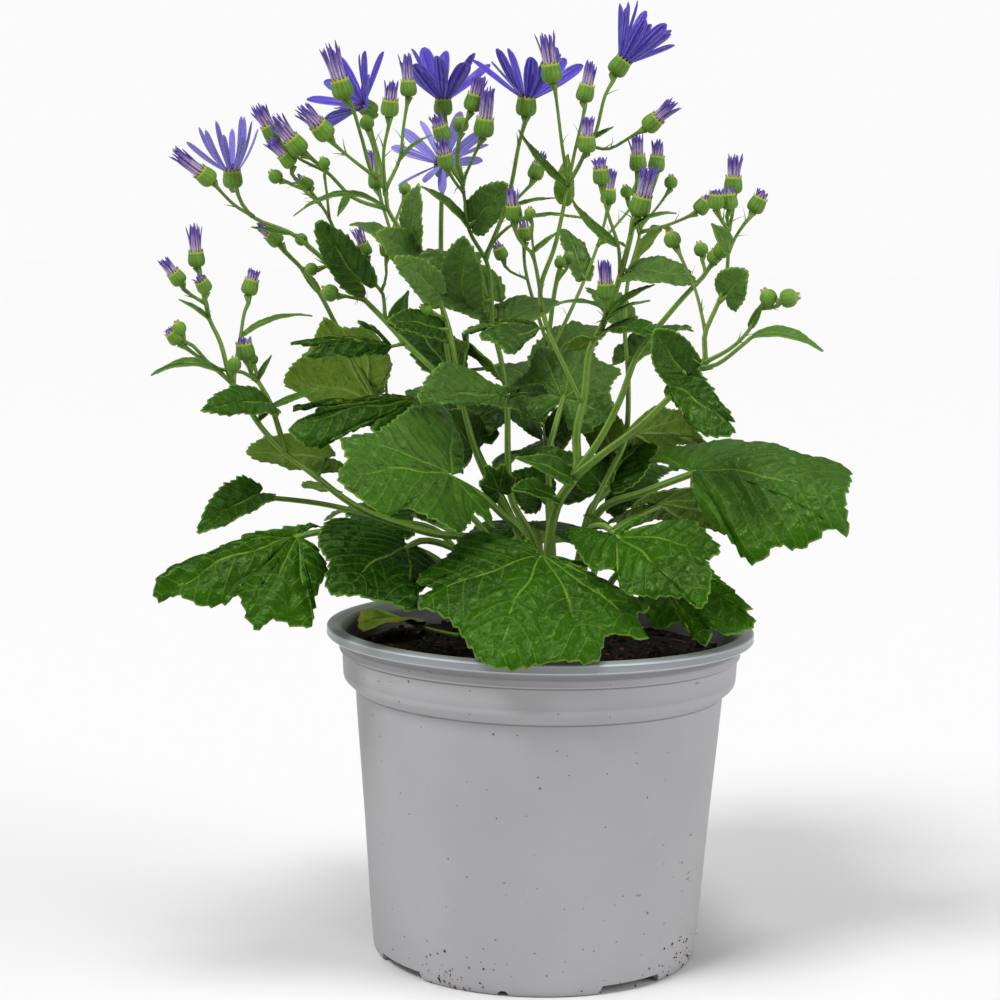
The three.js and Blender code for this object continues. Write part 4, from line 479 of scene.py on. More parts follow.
crownLeaves = {
  "leaf_front": {
    "stalk": [1.9, 1.5, [0, -19, 119], [0, -19, 141], [0, -30, 174], [0, -39, 181], [0, -46, 185]],
    "blade": ["front", [0, -46, 185], [-20, -102, 146], 71.1, 32, 5, 6, 4],
  },
  "leaf_mid_left": {
    "stalk": [1.9, 1.4, [-9, -15, 119], [-9, -15, 141], [-8, -15, 188], [-18, -24, 200], [-27, -32, 209],
      [-39, -42, 218]],
    "blade": ["midleft", [-39, -42, 218], [-84, -78, 220], 57.7, 52, 0, 4, 2],
  },
  "leaf_right": {
    "stalk": [2, 1.5, [17, -8, 119], [17, -8, 141], [24, -6, 198], [44, -20, 210], [64, -24, 220]],
    "blade": ["right", [64, -24, 220], [128, -52, 210], 70.6, 38, 0, 6, 12],
  },
  "leaf_right_low": {
    "stalk": [1.9, 1.4, [13, -15, 119], [13, -15, 141], [18, -16, 188], [26, -36, 197], [33, -49, 194]],
    "blade": ["rightlow", [32, -50, 194], [65, -90, 172], 56.3, 62, 0, 4, 2],
  },
  "leaf_right_rim": {
    "stalk": [1.8, 1.4, [22, 0, 119], [22, 0, 141], [33, 0, 170], [41, -8, 175], [48, -16, 174]],
    "blade": ["rim", [48, -16, 174], [90, -56, 160], 59.7, 45, 0, 6, 3],
  },
  "leaf_far_left": {
    "stalk": [1.8, 1.4, [-23, -5, 119], [-23, -5, 141], [-45, -14, 177], [-74, -28, 188], [-95, -38, 192],
      [-104, -44, 191]],
    "blade": ["farleft", [-104, -44, 191], [-160, -68, 166], 65.9, 52, 0, 6, 6],
  },
  "leaf_curled": {
    "stalk": [1.4, 1.1, [-20, 4, 119], [-20, 4, 141], [-45, 2, 187], [-68, 0, 193], [-97, 2, 199],
      [-123, -22, 206]],
    "blade": ["oval", [-123, -22, 206], [-145, -50, 192], 18, 55, 0, 3, -3],
  },
  "leaf_left_dark": {
    "stalk": [1.8, 1.4, [-19, -13, 119], [-19, -13, 141], [-31, -18, 178], [-50, -28, 188],
      [-58, -38, 186]],
    "blade": ["leftdark", [-58, -38, 186], [-84, -80, 170], 51.9, 50, 0, 5, 3],
  },
  "leaf_inner_right": {
    "stalk": [1.6, 1.3, [7, 1, 119], [7, 1, 141], [4, 2, 194], [2, 9, 222], [5, 16, 235], [8, 24, 247]],
    "blade": ["lobed", [8, 23, 247], [19, 45, 270], 52, 38, 0, 3, 2],
  },
  "leaf_far_right": {
    "stalk": [1.7, 1.4, [20, 8, 119], [20, 8, 141], [29, 24, 183], [45, 36, 193], [52, 44, 197]],
    "blade": ["lobed", [52, 44, 197], [95, 66, 178], 44, -38, 0, 6, 2],
  },
  "leaf_back_right": {
    "stalk": [1.7, 1.4, [14, 12, 119], [14, 12, 141], [21, 40, 192], [30, 62, 200], [33, 74, 204]],
    "blade": ["lobed", [33, 80, 204], [56, 132, 204], 48, -5, 10, 6, 4],
  },
  "leaf_back_left": {
    "stalk": [1.8, 1.4, [-17, 12, 119], [-17, 12, 141], [-33, 36, 177], [-53, 56, 186], [-65, 66, 189]],
    "blade": ["lobed", [-65, 66, 189], [-97, 128, 176], 56, -5, -10, 6, 6],
  },
  "leaf_back": {
    "stalk": [1.9, 1.5, [0, 22, 119], [0, 22, 141], [-1, 44, 175], [-3, 62, 181], [-5, 72, 183]],
    "blade": ["lobed", [-5, 72, 183], [-11, 141, 155], 60, -5, 0, 7, 6],
  },
}

# plain leaves: half outlines from the tip round to the stalk as [angle in degrees, share of the length]
halfOutlines = {
    "lobed": [[0, 1], [12, 0.84], [22, 0.76], [43, 0.94], [56, 0.76], [70, 0.68], [92, 0.85], [107, 0.67],
              [126, 0.62], [144, 0.4], [158, 0.12]],
    "oval": [[0, 1], [8, 0.9], [17, 0.78], [28, 0.64], [40, 0.52], [60, 0.39], [85, 0.32], [120, 0.22],
             [150, 0.12]],
    "lance": [[0, 1], [5, 0.84], [14, 0.68], [24, 0.54], [38, 0.4], [55, 0.28], [72, 0.16], [90, 0.1]],
}
plainWidths = {"lobed": 1.7, "oval": 0.68, "lance": 0.56}

# ---- node helpers


def addNode(tree, kind, inputs=None, **settings):
    node = tree.nodes.new(kind)
    for key, value in settings.items():
        setattr(node, key, value)
    for key, value in (inputs or {}).items():
        if isinstance(value, bpy.types.NodeSocket):
            tree.links.new(value, node.inputs[key])
        else:
            node.inputs[key].default_value = value
    return node


def maths(tree, operation, first, second=0.0):
    return addNode(tree, "ShaderNodeMath", {0: first, 1: second}, operation=operation).outputs[0]


def product(tree, first, second):
    return maths(tree, "MULTIPLY", first, second)


def vectorMaths(tree, operation, first, second):
    return addNode(tree, "ShaderNodeVectorMath", {0: first, 1: second}, operation=operation).outputs[0]


def fade(tree, value, low, high, lowOut=0.0, highOut=1.0):
    inputs = {"Value": value, "From Min": low, "From Max": high, "To Min": lowOut, "To Max": highOut}
    return addNode(tree, "ShaderNodeMapRange", inputs, interpolation_type="SMOOTHSTEP").outputs["Result"]


def blendColour(tree, share, first, second, blend="MIX"):
    node = addNode(tree, "ShaderNodeMix", {0: share, 6: first, 7: second}, data_type="RGBA", blend_type=blend)
    return node.outputs[2]


def tinted(tree, skin, mask, amount, colour):
    return blendColour(tree, product(tree, mask, amount), skin, colour)


# layers are [value, the limits that fade it in or out, colour]
def layered(tree, skin, *layers):
    for value, limits, colour in layers:
        skin = blendColour(tree, fade(tree, value, *limits), skin, colour)
    return skin


def grain(tree, place, scale, detail=3.0, roughness=0.55):
    inputs = {"Vector": place, "Scale": scale, "Detail": detail, "Roughness": roughness}
    return addNode(tree, "ShaderNodeTexNoise", inputs).outputs["Fac"]


def netGap(tree, place, scale):
    inputs = {"Vector": place, "Scale": scale}
    net = addNode(tree, "ShaderNodeTexVoronoi", inputs, feature="DISTANCE_TO_EDGE", voronoi_dimensions="2D")
    return net.outputs["Distance"]


def attribute(tree, name, output="Vector"):
    node = addNode(tree, "ShaderNodeAttribute", attribute_name=name, attribute_type="GEOMETRY")
    return node.outputs[output]


def parts(tree, vector):
    return addNode(tree, "ShaderNodeSeparateXYZ", {0: vector}).outputs


def coverParts(tree):
    return parts(tree, addNode(tree, "ShaderNodeUVMap", uv_map="UVMap").outputs[0])


# a wave that runs round a tube a number of times
def waveRound(tree, turn, count, shape="SINE"):
    return maths(tree, shape, product(tree, turn, 2 * math.pi * count))


def newGroup(name, vectors, values, outputs):
    group = bpy.data.node_groups.new(name, "ShaderNodeTree")
    for label in vectors:
        group.interface.new_socket(name=label, in_out="INPUT", socket_type="NodeSocketVector")
    for label, value in values.items():
        socket = group.interface.new_socket(name=label, in_out="INPUT", socket_type="NodeSocketFloat")
        socket.default_value = value
    for label in outputs:
        group.interface.new_socket(name=label, in_out="OUTPUT", socket_type="NodeSocketFloat")
    ends = group.nodes.new("NodeGroupInput"), group.nodes.new("NodeGroupOutput")
    return group, ends[0].outputs, ends[1].inputs


def useGroup(tree, group, inputs):
    return addNode(tree, "ShaderNodeGroup", inputs, node_tree=group).outputs


# ---- effects that several finishes share
webForm = {
    "values": {"Clear": 1.0, "Main width": 0.62, "Side width": 0.04, "Net scale": 0.125},
    "narrowing": (0.0, 34.0, 0.35, 1.0), "mainEdge": (0.3, 1.5, 1.0, 0.0), "sideEdge": (0.2, 1.3, 1.0, 0.0),
    "sideShare": 0.4, "wobbleScale": 0.16, "wobble": (6.0, 6.0, 0.0), "fineness": (2.6, 2.6, 0.0),
    "netEdge": (0.0, 0.055, 1.0, 0.0), "fineEdge": (0.0, 0.12, 0.3, 0.0),
    "pillowEdge": (0.0, 0.42), "finePillowEdge": (0.0, 0.4), "finePillow": 0.14,
}


def makeVeinWeb():
    # pale lines along the veins and the pillowed net between them
    outputs = ["Main lines", "Net lines", "Pillows"]
    group, given, results = newGroup("veinWeb", ["Veins", "Place"], webForm["values"], outputs)
    veins, place = parts(group, given["Veins"]), parts(group, given["Place"])
    narrow = product(group, given["Main width"], fade(group, place[2], *webForm["narrowing"]))
    main = fade(group, maths(group, "DIVIDE", veins[0], narrow), *webForm["mainEdge"])
    phase = maths(group, "ABSOLUTE", maths(group, "SUBTRACT", maths(group, "FRACT", veins[1]), 0.5))
    side = fade(group, maths(group, "DIVIDE", phase, given["Side width"]), *webForm["sideEdge"])
    side = product(group, side, product(group, given["Clear"], webForm["sideShare"]))
    flat = addNode(group, "ShaderNodeCombineXYZ", {0: place[0], 1: place[1]}).outputs[0]
    wobbled = {"Vector": flat, "Scale": webForm["wobbleScale"], "Detail": 3.0}
    wobble = addNode(group, "ShaderNodeTexNoise", wobbled).outputs["Color"]
    bent = vectorMaths(group, "ADD", flat, vectorMaths(group, "MULTIPLY", wobble, webForm["wobble"]))
    fine = vectorMaths(group, "MULTIPLY", bent, webForm["fineness"])
    gap, fineGap = (netGap(group, spot, given["Net scale"]) for spot in (bent, fine))
    edges = fade(group, gap, *webForm["netEdge"]), fade(group, fineGap, *webForm["fineEdge"])
    finePillow = product(group, fade(group, fineGap, *webForm["finePillowEdge"]), webForm["finePillow"])
    pillow = maths(group, "ADD", fade(group, gap, *webForm["pillowEdge"]), finePillow)
    group.links.new(maths(group, "MAXIMUM", main, side), results["Main lines"])
    group.links.new(maths(group, "MAXIMUM", *edges), results["Net lines"])
    group.links.new(maths(group, "DIVIDE", pillow, 1 + webForm["finePillow"]), results["Pillows"])
    return group


def makeMottle():
    # soft light and dark patches with a fine grain over them
    values = {"Patch scale": 40.0, "Grain scale": 900.0}
    group, given, results = newGroup("mottle", ["Place"], values, ["Patches", "Grain"])
    patches = fade(group, grain(group, given["Place"], given["Patch scale"]), 0.35, 0.65)
    group.links.new(patches, results["Patches"])
    group.links.new(grain(group, given["Place"], given["Grain scale"], detail=2.0), results["Grain"])
    return group


veinWeb = makeVeinWeb()
mottle = makeMottle()


# every finish starts with its gloss, the place on the object and the mottle
def startFinish(name, look):
    finish = bpy.data.materials.new(name)
    finish.use_nodes = True
    tree = finish.node_tree
    surface = tree.nodes["Principled BSDF"].inputs
    surface["Roughness"].default_value = look["roughness"]
    surface["Specular IOR Level"].default_value = look.get("specular", 0.5)
    surface["Sheen Weight"].default_value = look.get("sheen", 0.0)
    surface["Specular Tint"].default_value = look.get("tint", (1, 1, 1, 1))
    place = addNode(tree, "ShaderNodeTexCoord").outputs["Object"]
    scales = {"Place": place, "Patch scale": look["patches"], "Grain scale": look["grain"]}
    return finish, tree, place, useGroup(tree, mottle, scales)


# and ends with the grain's shade over its colour, its gloss and its relief, the coarse before the fine
def endFinish(finish, look, spots, skin, height=None, gloss=None):
    tree = finish.node_tree
    surface = tree.nodes["Principled BSDF"].inputs
    if "shade" in look:
        shade = fade(tree, spots["Grain"], 0.3, 0.7, *look["shade"])
        grey = addNode(tree, "ShaderNodeCombineColor", {0: shade, 1: shade, 2: shade}).outputs[0]
        skin = blendColour(tree, 1.0, skin, grey, blend="MULTIPLY")
    tree.links.new(skin, surface["Base Color"])
    if gloss is not None:
        tree.links.new(fade(tree, gloss, 0.0, 1.0, *look["gloss"]), surface["Roughness"])
    normal = {}
    for source, relief in ((height, look.get("relief")), (spots["Grain"], look.get("fineRelief"))):
        if relief:
            inputs = {"Height": source, "Strength": relief[0], "Distance": relief[1], **normal}
            normal = {"Normal": addNode(tree, "ShaderNodeBump", inputs).outputs["Normal"]}
    tree.links.new(normal["Normal"], surface["Normal"])
    return finish


def leafWeb(tree, changes):
    place, veins = attribute(tree, "leafPlace"), attribute(tree, "leafVeins")
    inputs = {"Veins": veins, "Place": place, "Clear": attribute(tree, "leafClear", "Fac"), **changes}
    return parts(tree, veins)[2], parts(tree, place)[2], useGroup(tree, veinWeb, inputs)


# ---- leaves and stems
leafGloss = (0.62, 1, 0.32, 1)
leafTopLook = {
    "roughness": 0.4, "specular": 0.24, "tint": leafGloss, "patches": 26.0, "grain": 1400.0,
    "deep": (0.005, 0.028, 0.0006, 1), "fresh": (0.025, 0.098, 0.0007, 1), "hairy": (0.1, 0.185, 0.042, 1),
    "net": (0.06, 0.17, 0.005, 1), "vein": (0.17, 0.33, 0.035, 1), "rim": (0.2, 0.37, 0.04, 1),
    # the pillow share paints light and shade on the pillows
    "patchShare": (-0.22, 0.2), "pillowLightShare": (-0.24, 0.12), "netShare": 0.24, "veinShare": 0.62,
    "hairHeights": (0.18, 0.29, 0.0, 0.66), "hairTones": (0.22, 0.6, 0.12, 1.0),
    "rimEdge": (0.2, 1.0, 0.55, 0.0), "shade": (0.82, 1.14), "gloss": (0.45, 0.3), "veinDepth": 0.3,
    "relief": (0.6, 0.0011), "fineRelief": (0.25, 0.0002),
}


def makeLeafTop():
    look = leafTopLook
    finish, tree, place, spots = startFinish("leafTop", look)
    tone, rim, web = leafWeb(tree, {})
    # broad patches: partly the leaf's own mottle, partly painted light and shade for its curves and gloss
    share = maths(tree, "ADD", fade(tree, spots["Patches"], 0.0, 1.0, *look["patchShare"]), tone)
    # painted light and shade on the pillows: the domes lighter, the hollows by the veins darker
    share = maths(tree, "ADD", share, fade(tree, web["Pillows"], 0.0, 1.0, *look["pillowLightShare"]))
    hairs = product(tree, fade(tree, parts(tree, place)[2], *look["hairHeights"]),
                    fade(tree, tone, *look["hairTones"]))
    skin = blendColour(tree, hairs, blendColour(tree, share, look["deep"], look["fresh"]), look["hairy"])
    skin = tinted(tree, skin, web["Net lines"], look["netShare"], look["net"])
    skin = tinted(tree, skin, web["Main lines"], look["veinShare"], look["vein"])
    skin = layered(tree, skin, [rim, look["rimEdge"], look["rim"]])
    height = maths(tree, "SUBTRACT", web["Pillows"], product(tree, web["Main lines"], look["veinDepth"]))
    return endFinish(finish, look, spots, skin, height, web["Pillows"])


leafUnderLook = {
    "roughness": 0.75, "specular": 0.12, "sheen": 0.03, "tint": leafGloss, "patches": 45.0, "grain": 1600.0,
    "deep": (0.045, 0.1, 0.008, 1), "fresh": (0.14, 0.25, 0.022, 1), "vein": (0.24, 0.34, 0.07, 1),
    "web": {"Main width": 1.0, "Side width": 0.08}, "patchShare": 0.4, "netShare": 0.25, "veinShare": 0.75,
    "shade": (0.85, 1.12), "veinHeight": 1.2, "relief": (0.7, 0.0009), "fineRelief": (0.4, 0.0003),
}


def makeLeafUnder():
    look = leafUnderLook
    finish, tree, _, spots = startFinish("leafUnder", look)
    tone, _, web = leafWeb(tree, look["web"])
    share = maths(tree, "ADD", product(tree, spots["Patches"], look["patchShare"]), tone)
    skin = blendColour(tree, share, look["deep"], look["fresh"])
    skin = tinted(tree, skin, web["Net lines"], look["netShare"], look["vein"])
    skin = tinted(tree, skin, web["Main lines"], look["veinShare"], look["vein"])
    height = maths(tree, "SUBTRACT", product(tree, web["Main lines"], look["veinHeight"]), web["Pillows"])
    return endFinish(finish, look, spots, skin, height)


oldLeafLook = {
    "roughness": 0.7, "specular": 0.2, "patches": 70.0, "grain": 1500.0,
    "green": (0.07, 0.16, 0.01, 1), "yellow": (0.2, 0.27, 0.02, 1), "vein": (0.34, 0.4, 0.1, 1),
    "rim": (0.3, 0.2, 0.05, 1), "veinShare": 0.6, "rimEdge": (0.5, 3.0, 0.5, 0.0), "relief": (0.5, 0.0006),
}


def makeOldLeafYellow():
    look = oldLeafLook
    finish, tree, _, spots = startFinish("oldLeafYellow", look)
    _, rim, web = leafWeb(tree, {"Clear": 1.0})
    skin = blendColour(tree, spots["Patches"], look["green"], look["yellow"])
    skin = tinted(tree, skin, web["Main lines"], look["veinShare"], look["vein"])
    skin = layered(tree, skin, [rim, look["rimEdge"], look["rim"]])
    return endFinish(finish, look, spots, skin, web["Pillows"])


stemLook = {
    "roughness": 0.6, "specular": 0.2, "sheen": 0.05, "tint": leafGloss, "patches": 60.0, "grain": 1500.0,
    "green": (0.13, 0.245, 0.028, 1), "deep": (0.055, 0.12, 0.012, 1), "light": (0.34, 0.44, 0.16, 1),
    "flush": (0.08, 0.075, 0.045, 1), "patchShare": 0.45, "stripes": 5, "stripeEdge": (0.1, 1.0, 0.0, 0.4),
    "flushHeights": (0.33, 0.4), "flushPatches": (0.4, 1.0, 0.0, 0.5), "shade": (0.82, 1.15),
    "relief": (0.35, 0.0003), "fineRelief": (0.5, 0.0003),
}


def makeStemSkin():
    look = stemLook
    finish, tree, place, spots = startFinish("stemSkin", look)
    wave = waveRound(tree, coverParts(tree)[0], look["stripes"])
    skin = tinted(tree, look["green"], spots["Patches"], look["patchShare"], look["deep"])
    skin = layered(tree, skin, [wave, look["stripeEdge"], look["light"]])
    flush = product(tree, fade(tree, parts(tree, place)[2], *look["flushHeights"]),
                    fade(tree, spots["Patches"], *look["flushPatches"]))
    skin = blendColour(tree, flush, skin, look["flush"])
    return endFinish(finish, look, spots, skin, wave)


# ---- cups, rays and discs
cupLook = {
    "roughness": 0.5, "specular": 0.25, "sheen": 0.03, "patches": 160.0, "grain": 1800.0, "scales": 13,
    "green": (0.12, 0.25, 0.02, 1), "deep": (0.075, 0.18, 0.013, 1), "light": (0.23, 0.36, 0.07, 1),
    "tip": (0.33, 0.4, 0.04, 1), "stain": (0.09, 0.03, 0.07, 1), "fineRelief": (0.3, 0.0002),
    # where each is seen: by the wave round the cup, and by the way up it
    "seamWave": (-1.0, -0.55, 1.0, 0.0), "seamHeight": (0.2, 0.6, 0.1, 0.45),
    "ridgeWave": (0.7, 1.0), "ridgeHeight": (0.1, 0.6, 0.1, 0.5),
    "tipHeight": (0.58, 0.68, 0.0, 0.85), "stainWave": (0.2, 0.9), "stainHeight": (0.69, 0.73),
}


def makeCupGreen():
    look = cupLook
    finish, tree, _, spots = startFinish("cupGreen", look)
    cover = coverParts(tree)
    wave = waveRound(tree, cover[0], look["scales"], "COSINE")
    skin = blendColour(tree, spots["Patches"], look["deep"], look["green"])
    for mark, colour in (("seam", "deep"), ("ridge", "light"), ("tip", "tip"), ("stain", "stain")):
        mask = fade(tree, cover[1], *look[mark + "Height"])
        if mark != "tip":
            mask = product(tree, fade(tree, wave, *look[mark + "Wave"]), mask)
        skin = blendColour(tree, mask, skin, look[colour])
    return endFinish(finish, look, spots, skin)


quillLook = {
    "roughness": 0.5, "specular": 0.3, "sheen": 0.1, "patches": 260.0, "grain": 1600.0,
    "base": (0.62, 0.5, 0.6, 1), "light": (0.4, 0.3, 0.52, 1), "violet": (0.1, 0.055, 0.36, 1),
    "tip": (0.16, 0.11, 0.24, 1), "line": (0.07, 0.035, 0.14, 1), "wander": 0.16, "lines": 2,
    "lightEdge": (0.1, 0.5), "violetEdge": (0.4, 0.85), "tipEdge": (0.95, 1.08),
    "lineEdge": (0.5, 1.0, 0.0, 0.5), "relief": (0.3, 0.0002),
}


def makeQuillViolet():
    look = quillLook
    finish, tree, _, spots = startFinish("quillViolet", look)
    cover = coverParts(tree)
    along = maths(tree, "ADD", cover[1], product(tree, spots["Patches"], look["wander"]))
    wave = waveRound(tree, cover[0], look["lines"])
    skin = layered(tree, look["base"], [along, look["lightEdge"], look["light"]],
                   [along, look["violetEdge"], look["violet"]], [along, look["tipEdge"], look["tip"]],
                   [wave, look["lineEdge"], look["line"]])
    return endFinish(finish, look, spots, skin, wave)


rayLook = {
    "roughness": 0.42, "specular": 0.25, "sheen": 0.05, "patches": 120.0, "grain": 1500.0,
    "violet": (0.085, 0.05, 0.52, 1), "deep": (0.035, 0.018, 0.27, 1), "pale": (0.27, 0.24, 0.74, 1),
    "base": (0.3, 0.2, 0.6, 1), "lilac": (0.5, 0.45, 1.0, 1), "lines": 10, "streaks": 26.0,
    "lineEdge": (-0.2, 1.0, 0.0, 0.35), "darkStreaks": (0.3, 0.5, 0.6, 0.0),
    # the pale faces at the rays' margins are a painted highlight
    "paleStreaks": (0.48, 0.68, 0.0, 0.8), "marginHighlight": (0.8, 0.97, 0.0, 0.5),
    "darkFace": (0.0, 0.35, 0.55, 0.0), "baseEdge": (0.0, 0.2, 0.35, 0.0),
    "relief": (0.5, 0.0003), "fineRelief": (0.2, 0.0002),
}


def makeRay(name, paleness):
    look = rayLook
    finish, tree, _, spots = startFinish(name, look)
    cover = coverParts(tree)
    wave = waveRound(tree, cover[0], look["lines"])
    face = maths(tree, "ABSOLUTE", waveRound(tree, cover[0], 1, "COSINE"))
    stretched = {0: product(tree, cover[0], look["streaks"]), 1: cover[1], 2: spots["Patches"]}
    stretch = addNode(tree, "ShaderNodeCombineXYZ", stretched).outputs[0]
    streaks = grain(tree, stretch, 1.0, detail=4.0, roughness=0.7)
    skin = layered(tree, look["violet"], [wave, look["lineEdge"], look["deep"]],
                   [streaks, look["darkStreaks"], look["deep"]], [streaks, look["paleStreaks"], look["pale"]],
                   # painted highlight: paler margins where the rays' edges catch the light
                   [face, look["marginHighlight"], look["pale"]], [face, look["darkFace"], look["deep"]],
                   [cover[1], look["baseEdge"], look["base"]])
    skin = blendColour(tree, paleness, skin, look["lilac"])
    return endFinish(finish, look, spots, skin, wave)


# ---- soil and other plain mottled finishes
# the soil's near black is its own dark colour deepened as painted shade, for the soil lies in shadow in the
# pot
soilShadedBlack, soilWarm = (0.005, 0.0035, 0.0025, 1), (0.02, 0.011, 0.006, 1)
soilRust = (0.12, 0.05, 0.022, 1)
mottledLooks = {
    "discDark": {
        "roughness": 0.6, "patches": 500.0, "grain": 2200.0, "dark": (0.03, 0.012, 0.06, 1),
        "light": (0.16, 0.06, 0.2, 1), "fineRelief": (0.4, 0.0002)},
    "crumbBrown": {
        "roughness": 0.9, "specular": 0.1, "patches": 300.0, "grain": 2000.0, "dark": soilWarm,
        "light": soilRust, "fineRelief": (0.6, 0.0004)},
    "fibreBrown": {
        "roughness": 0.85, "specular": 0.2, "patches": 90.0, "grain": 1500.0,
        "dark": (0.025, 0.012, 0.006, 1), "light": (0.15, 0.075, 0.035, 1), "fineRelief": (0.5, 0.0003)},
}
soilLook = {
    "roughness": 0.95, "specular": 0.15, "patches": 130.0, "grain": 1500.0, "rustSpecks": (300.0, 0.4, 0.12),
    "relief": (0.6, 0.002), "fineRelief": (0.8, 0.0006),
}


def makeMottled(name):
    look = mottledLooks[name]
    finish, tree, _, spots = startFinish(name, look)
    skin = blendColour(tree, spots["Patches"], look["dark"], look["light"])
    return endFinish(finish, look, spots, skin)


def specks(tree, place, scale, size, share):
    # a few dark dots: the middle of some cells
    node = addNode(tree, "ShaderNodeTexVoronoi", {"Vector": place, "Scale": scale}, feature="F1")
    chosen = maths(tree, "LESS_THAN", parts(tree, node.outputs["Color"])[0], share)
    return product(tree, fade(tree, node.outputs["Distance"], size * 0.6, size, 1.0, 0.0), chosen)


def makeSoilBrown():
    look = soilLook
    finish, tree, place, spots = startFinish("soilBrown", look)
    # soil colour: its own dark brown, deepened to near black as painted shade
    skin = blendColour(tree, spots["Patches"], soilShadedBlack, soilWarm)
    skin = blendColour(tree, specks(tree, place, *look["rustSpecks"]), skin, soilRust)
    return endFinish(finish, look, spots, skin, spots["Patches"])


# ---- pot plastic
potLook = {
    "roughness": 0.55, "specular": 0.35, "patches": 14.0, "grain": 2500.0,
    # the lip colour is the lip's own bluish grey, darkened as painted shade
    "grey": (0.345, 0.338, 0.35, 1), "cloud": (0.37, 0.362, 0.372, 1), "lip": (0.22, 0.245, 0.252, 1),
    "lipHighlight": (0.46, 0.49, 0.5, 1), "algae": (0.25, 0.3, 0.24, 1), "speck": (0.05, 0.042, 0.038, 1),
    # the inside colour is painted shade on the pot's inner wall
    "brown": (0.12, 0.06, 0.03, 1), "scuff": (0.2, 0.15, 0.11, 1), "inside": (0.085, 0.09, 0.092, 1),
    "creaseShade": (0.13, 0.13, 0.135, 1),
    # narrow bands of painted shade in the creases and under the lip, and of painted highlight along the lip's
    # edges, all around the pot: [middle height, half width, share], in metres
    "seams": [[0.1193, 0.0006, 0.75], [0.1358, 0.0006, 0.7], [0.1409, 0.0024, 0.62]],
    # painted highlights along the lip's lower and upper outer edges
    "edges": [[0.1435, 0.00045, 0.8], [0.1468, 0.0005, 0.9]],
    # dots crowd low down and at the right
    "fewest": 0.3, "crowd": 0.6, "crowdHeight": (0.0, 0.06, 1.0, 0.0), "crowdSide": (-0.06, 0.08, 0.25, 1.0),
    "ragScale": 1500.0, "rag": (0.0007, 0.0007, 0.0007), "dots": (240.0, 0.11), "dotShare": 0.85,
    "crumbs": (110.0, 0.08), "crumbsToDots": 0.7, "crumbShare": 0.8,
    "scuffFlatness": (1.0, 1.0, 3.4), "scuffs": (90.0, 0.2, 0.035), "scuffShare": 0.7,
    "lipHeight": (0.1428, 0.1432), "lipShare": 0.85, "algaeReach": (0.091, 0.0935, 0.7, 0.0),
    "insideReach": (0.0866, 0.0878, 1.0, 0.0), "insideHeight": (0.126, 0.127), "insideShare": 0.85,
    "gloss": (0.58, 0.32), "relief": (0.1, 0.0004), "fineRelief": (0.12, 0.00015),
}


def bands(tree, skin, height, places, colour):
    for middle, half, share in places:
        gap = maths(tree, "ABSOLUTE", maths(tree, "SUBTRACT", height, middle))
        skin = layered(tree, skin, [gap, (half * 0.4, half, share, 0.0), colour])
    return skin


def makePotPlastic():
    look = potLook
    finish, tree, place, spots = startFinish("potPlastic", look)
    across, depth, height = parts(tree, place)
    skin = blendColour(tree, spots["Patches"], look["grey"], look["cloud"])
    crowd = product(tree, fade(tree, height, *look["crowdHeight"]), fade(tree, across, *look["crowdSide"]))
    crowded = maths(tree, "ADD", look["fewest"], product(tree, crowd, look["crowd"]))
    ragged = addNode(tree, "ShaderNodeTexNoise", {"Vector": place, "Scale": look["ragScale"]})
    shift = vectorMaths(tree, "MULTIPLY", ragged.outputs["Color"], look["rag"])
    torn = vectorMaths(tree, "ADD", place, shift)
    dots = specks(tree, torn, *look["dots"], crowded)
    skin = tinted(tree, skin, dots, look["dotShare"], look["speck"])
    crumbs = specks(tree, torn, *look["crumbs"], product(tree, crowded, look["crumbsToDots"]))
    skin = tinted(tree, skin, crumbs, look["crumbShare"], look["brown"])
    flat = vectorMaths(tree, "MULTIPLY", torn, look["scuffFlatness"])
    skin = tinted(tree, skin, specks(tree, flat, *look["scuffs"]), look["scuffShare"], look["scuff"])
    # painted shade: dark bands in the creases and in the undercut below the lip
    skin = bands(tree, skin, height, look["seams"], look["creaseShade"])
    # the lip's own bluish grey, darkened as painted shade
    lip = fade(tree, height, *look["lipHeight"])
    skin = tinted(tree, skin, lip, look["lipShare"], look["lip"])
    # painted highlights: pale bands along the lip's outer edges
    skin = bands(tree, skin, height, look["edges"], look["lipHighlight"])
    squares = maths(tree, "ADD", maths(tree, "POWER", across, 2.0), maths(tree, "POWER", depth, 2.0))
    reach = maths(tree, "SQRT", squares)
    skin = tinted(tree, skin, fade(tree, reach, *look["algaeReach"]), lip, look["algae"])
    # painted shade on the pot's inner wall above the soil
    inside = product(tree, fade(tree, reach, *look["insideReach"]), fade(tree, height, *look["insideHeight"]))
    skin = tinted(tree, skin, inside, look["insideShare"], look["inside"])
    return endFinish(finish, look, spots, skin, spots["Patches"], lip)


leafTop, leafUnder, oldLeafYellow = makeLeafTop(), makeLeafUnder(), makeOldLeafYellow()
stemSkin, cupGreen, quillViolet = makeStemSkin(), makeCupGreen(), makeQuillViolet()
rayPaleness = {"rayViolet": 0.0, "rayBright": 0.36, "rayLilac": 0.5}
rayFinishes = {name: makeRay(name, paleness) for name, paleness in rayPaleness.items()}
discDark, crumbBrown, fibreBrown = (makeMottled(name) for name in mottledLooks)
soilBrown, potPlastic = makeSoilBrown(), makePotPlastic()
print("finishes are made")


# ---- shaping helpers


def selectOnly(*pieces):
    bpy.ops.object.select_all(action="DESELECT")
    for piece in pieces:
        piece.select_set(True)
    bpy.context.view_layer.objects.active = pieces[0]


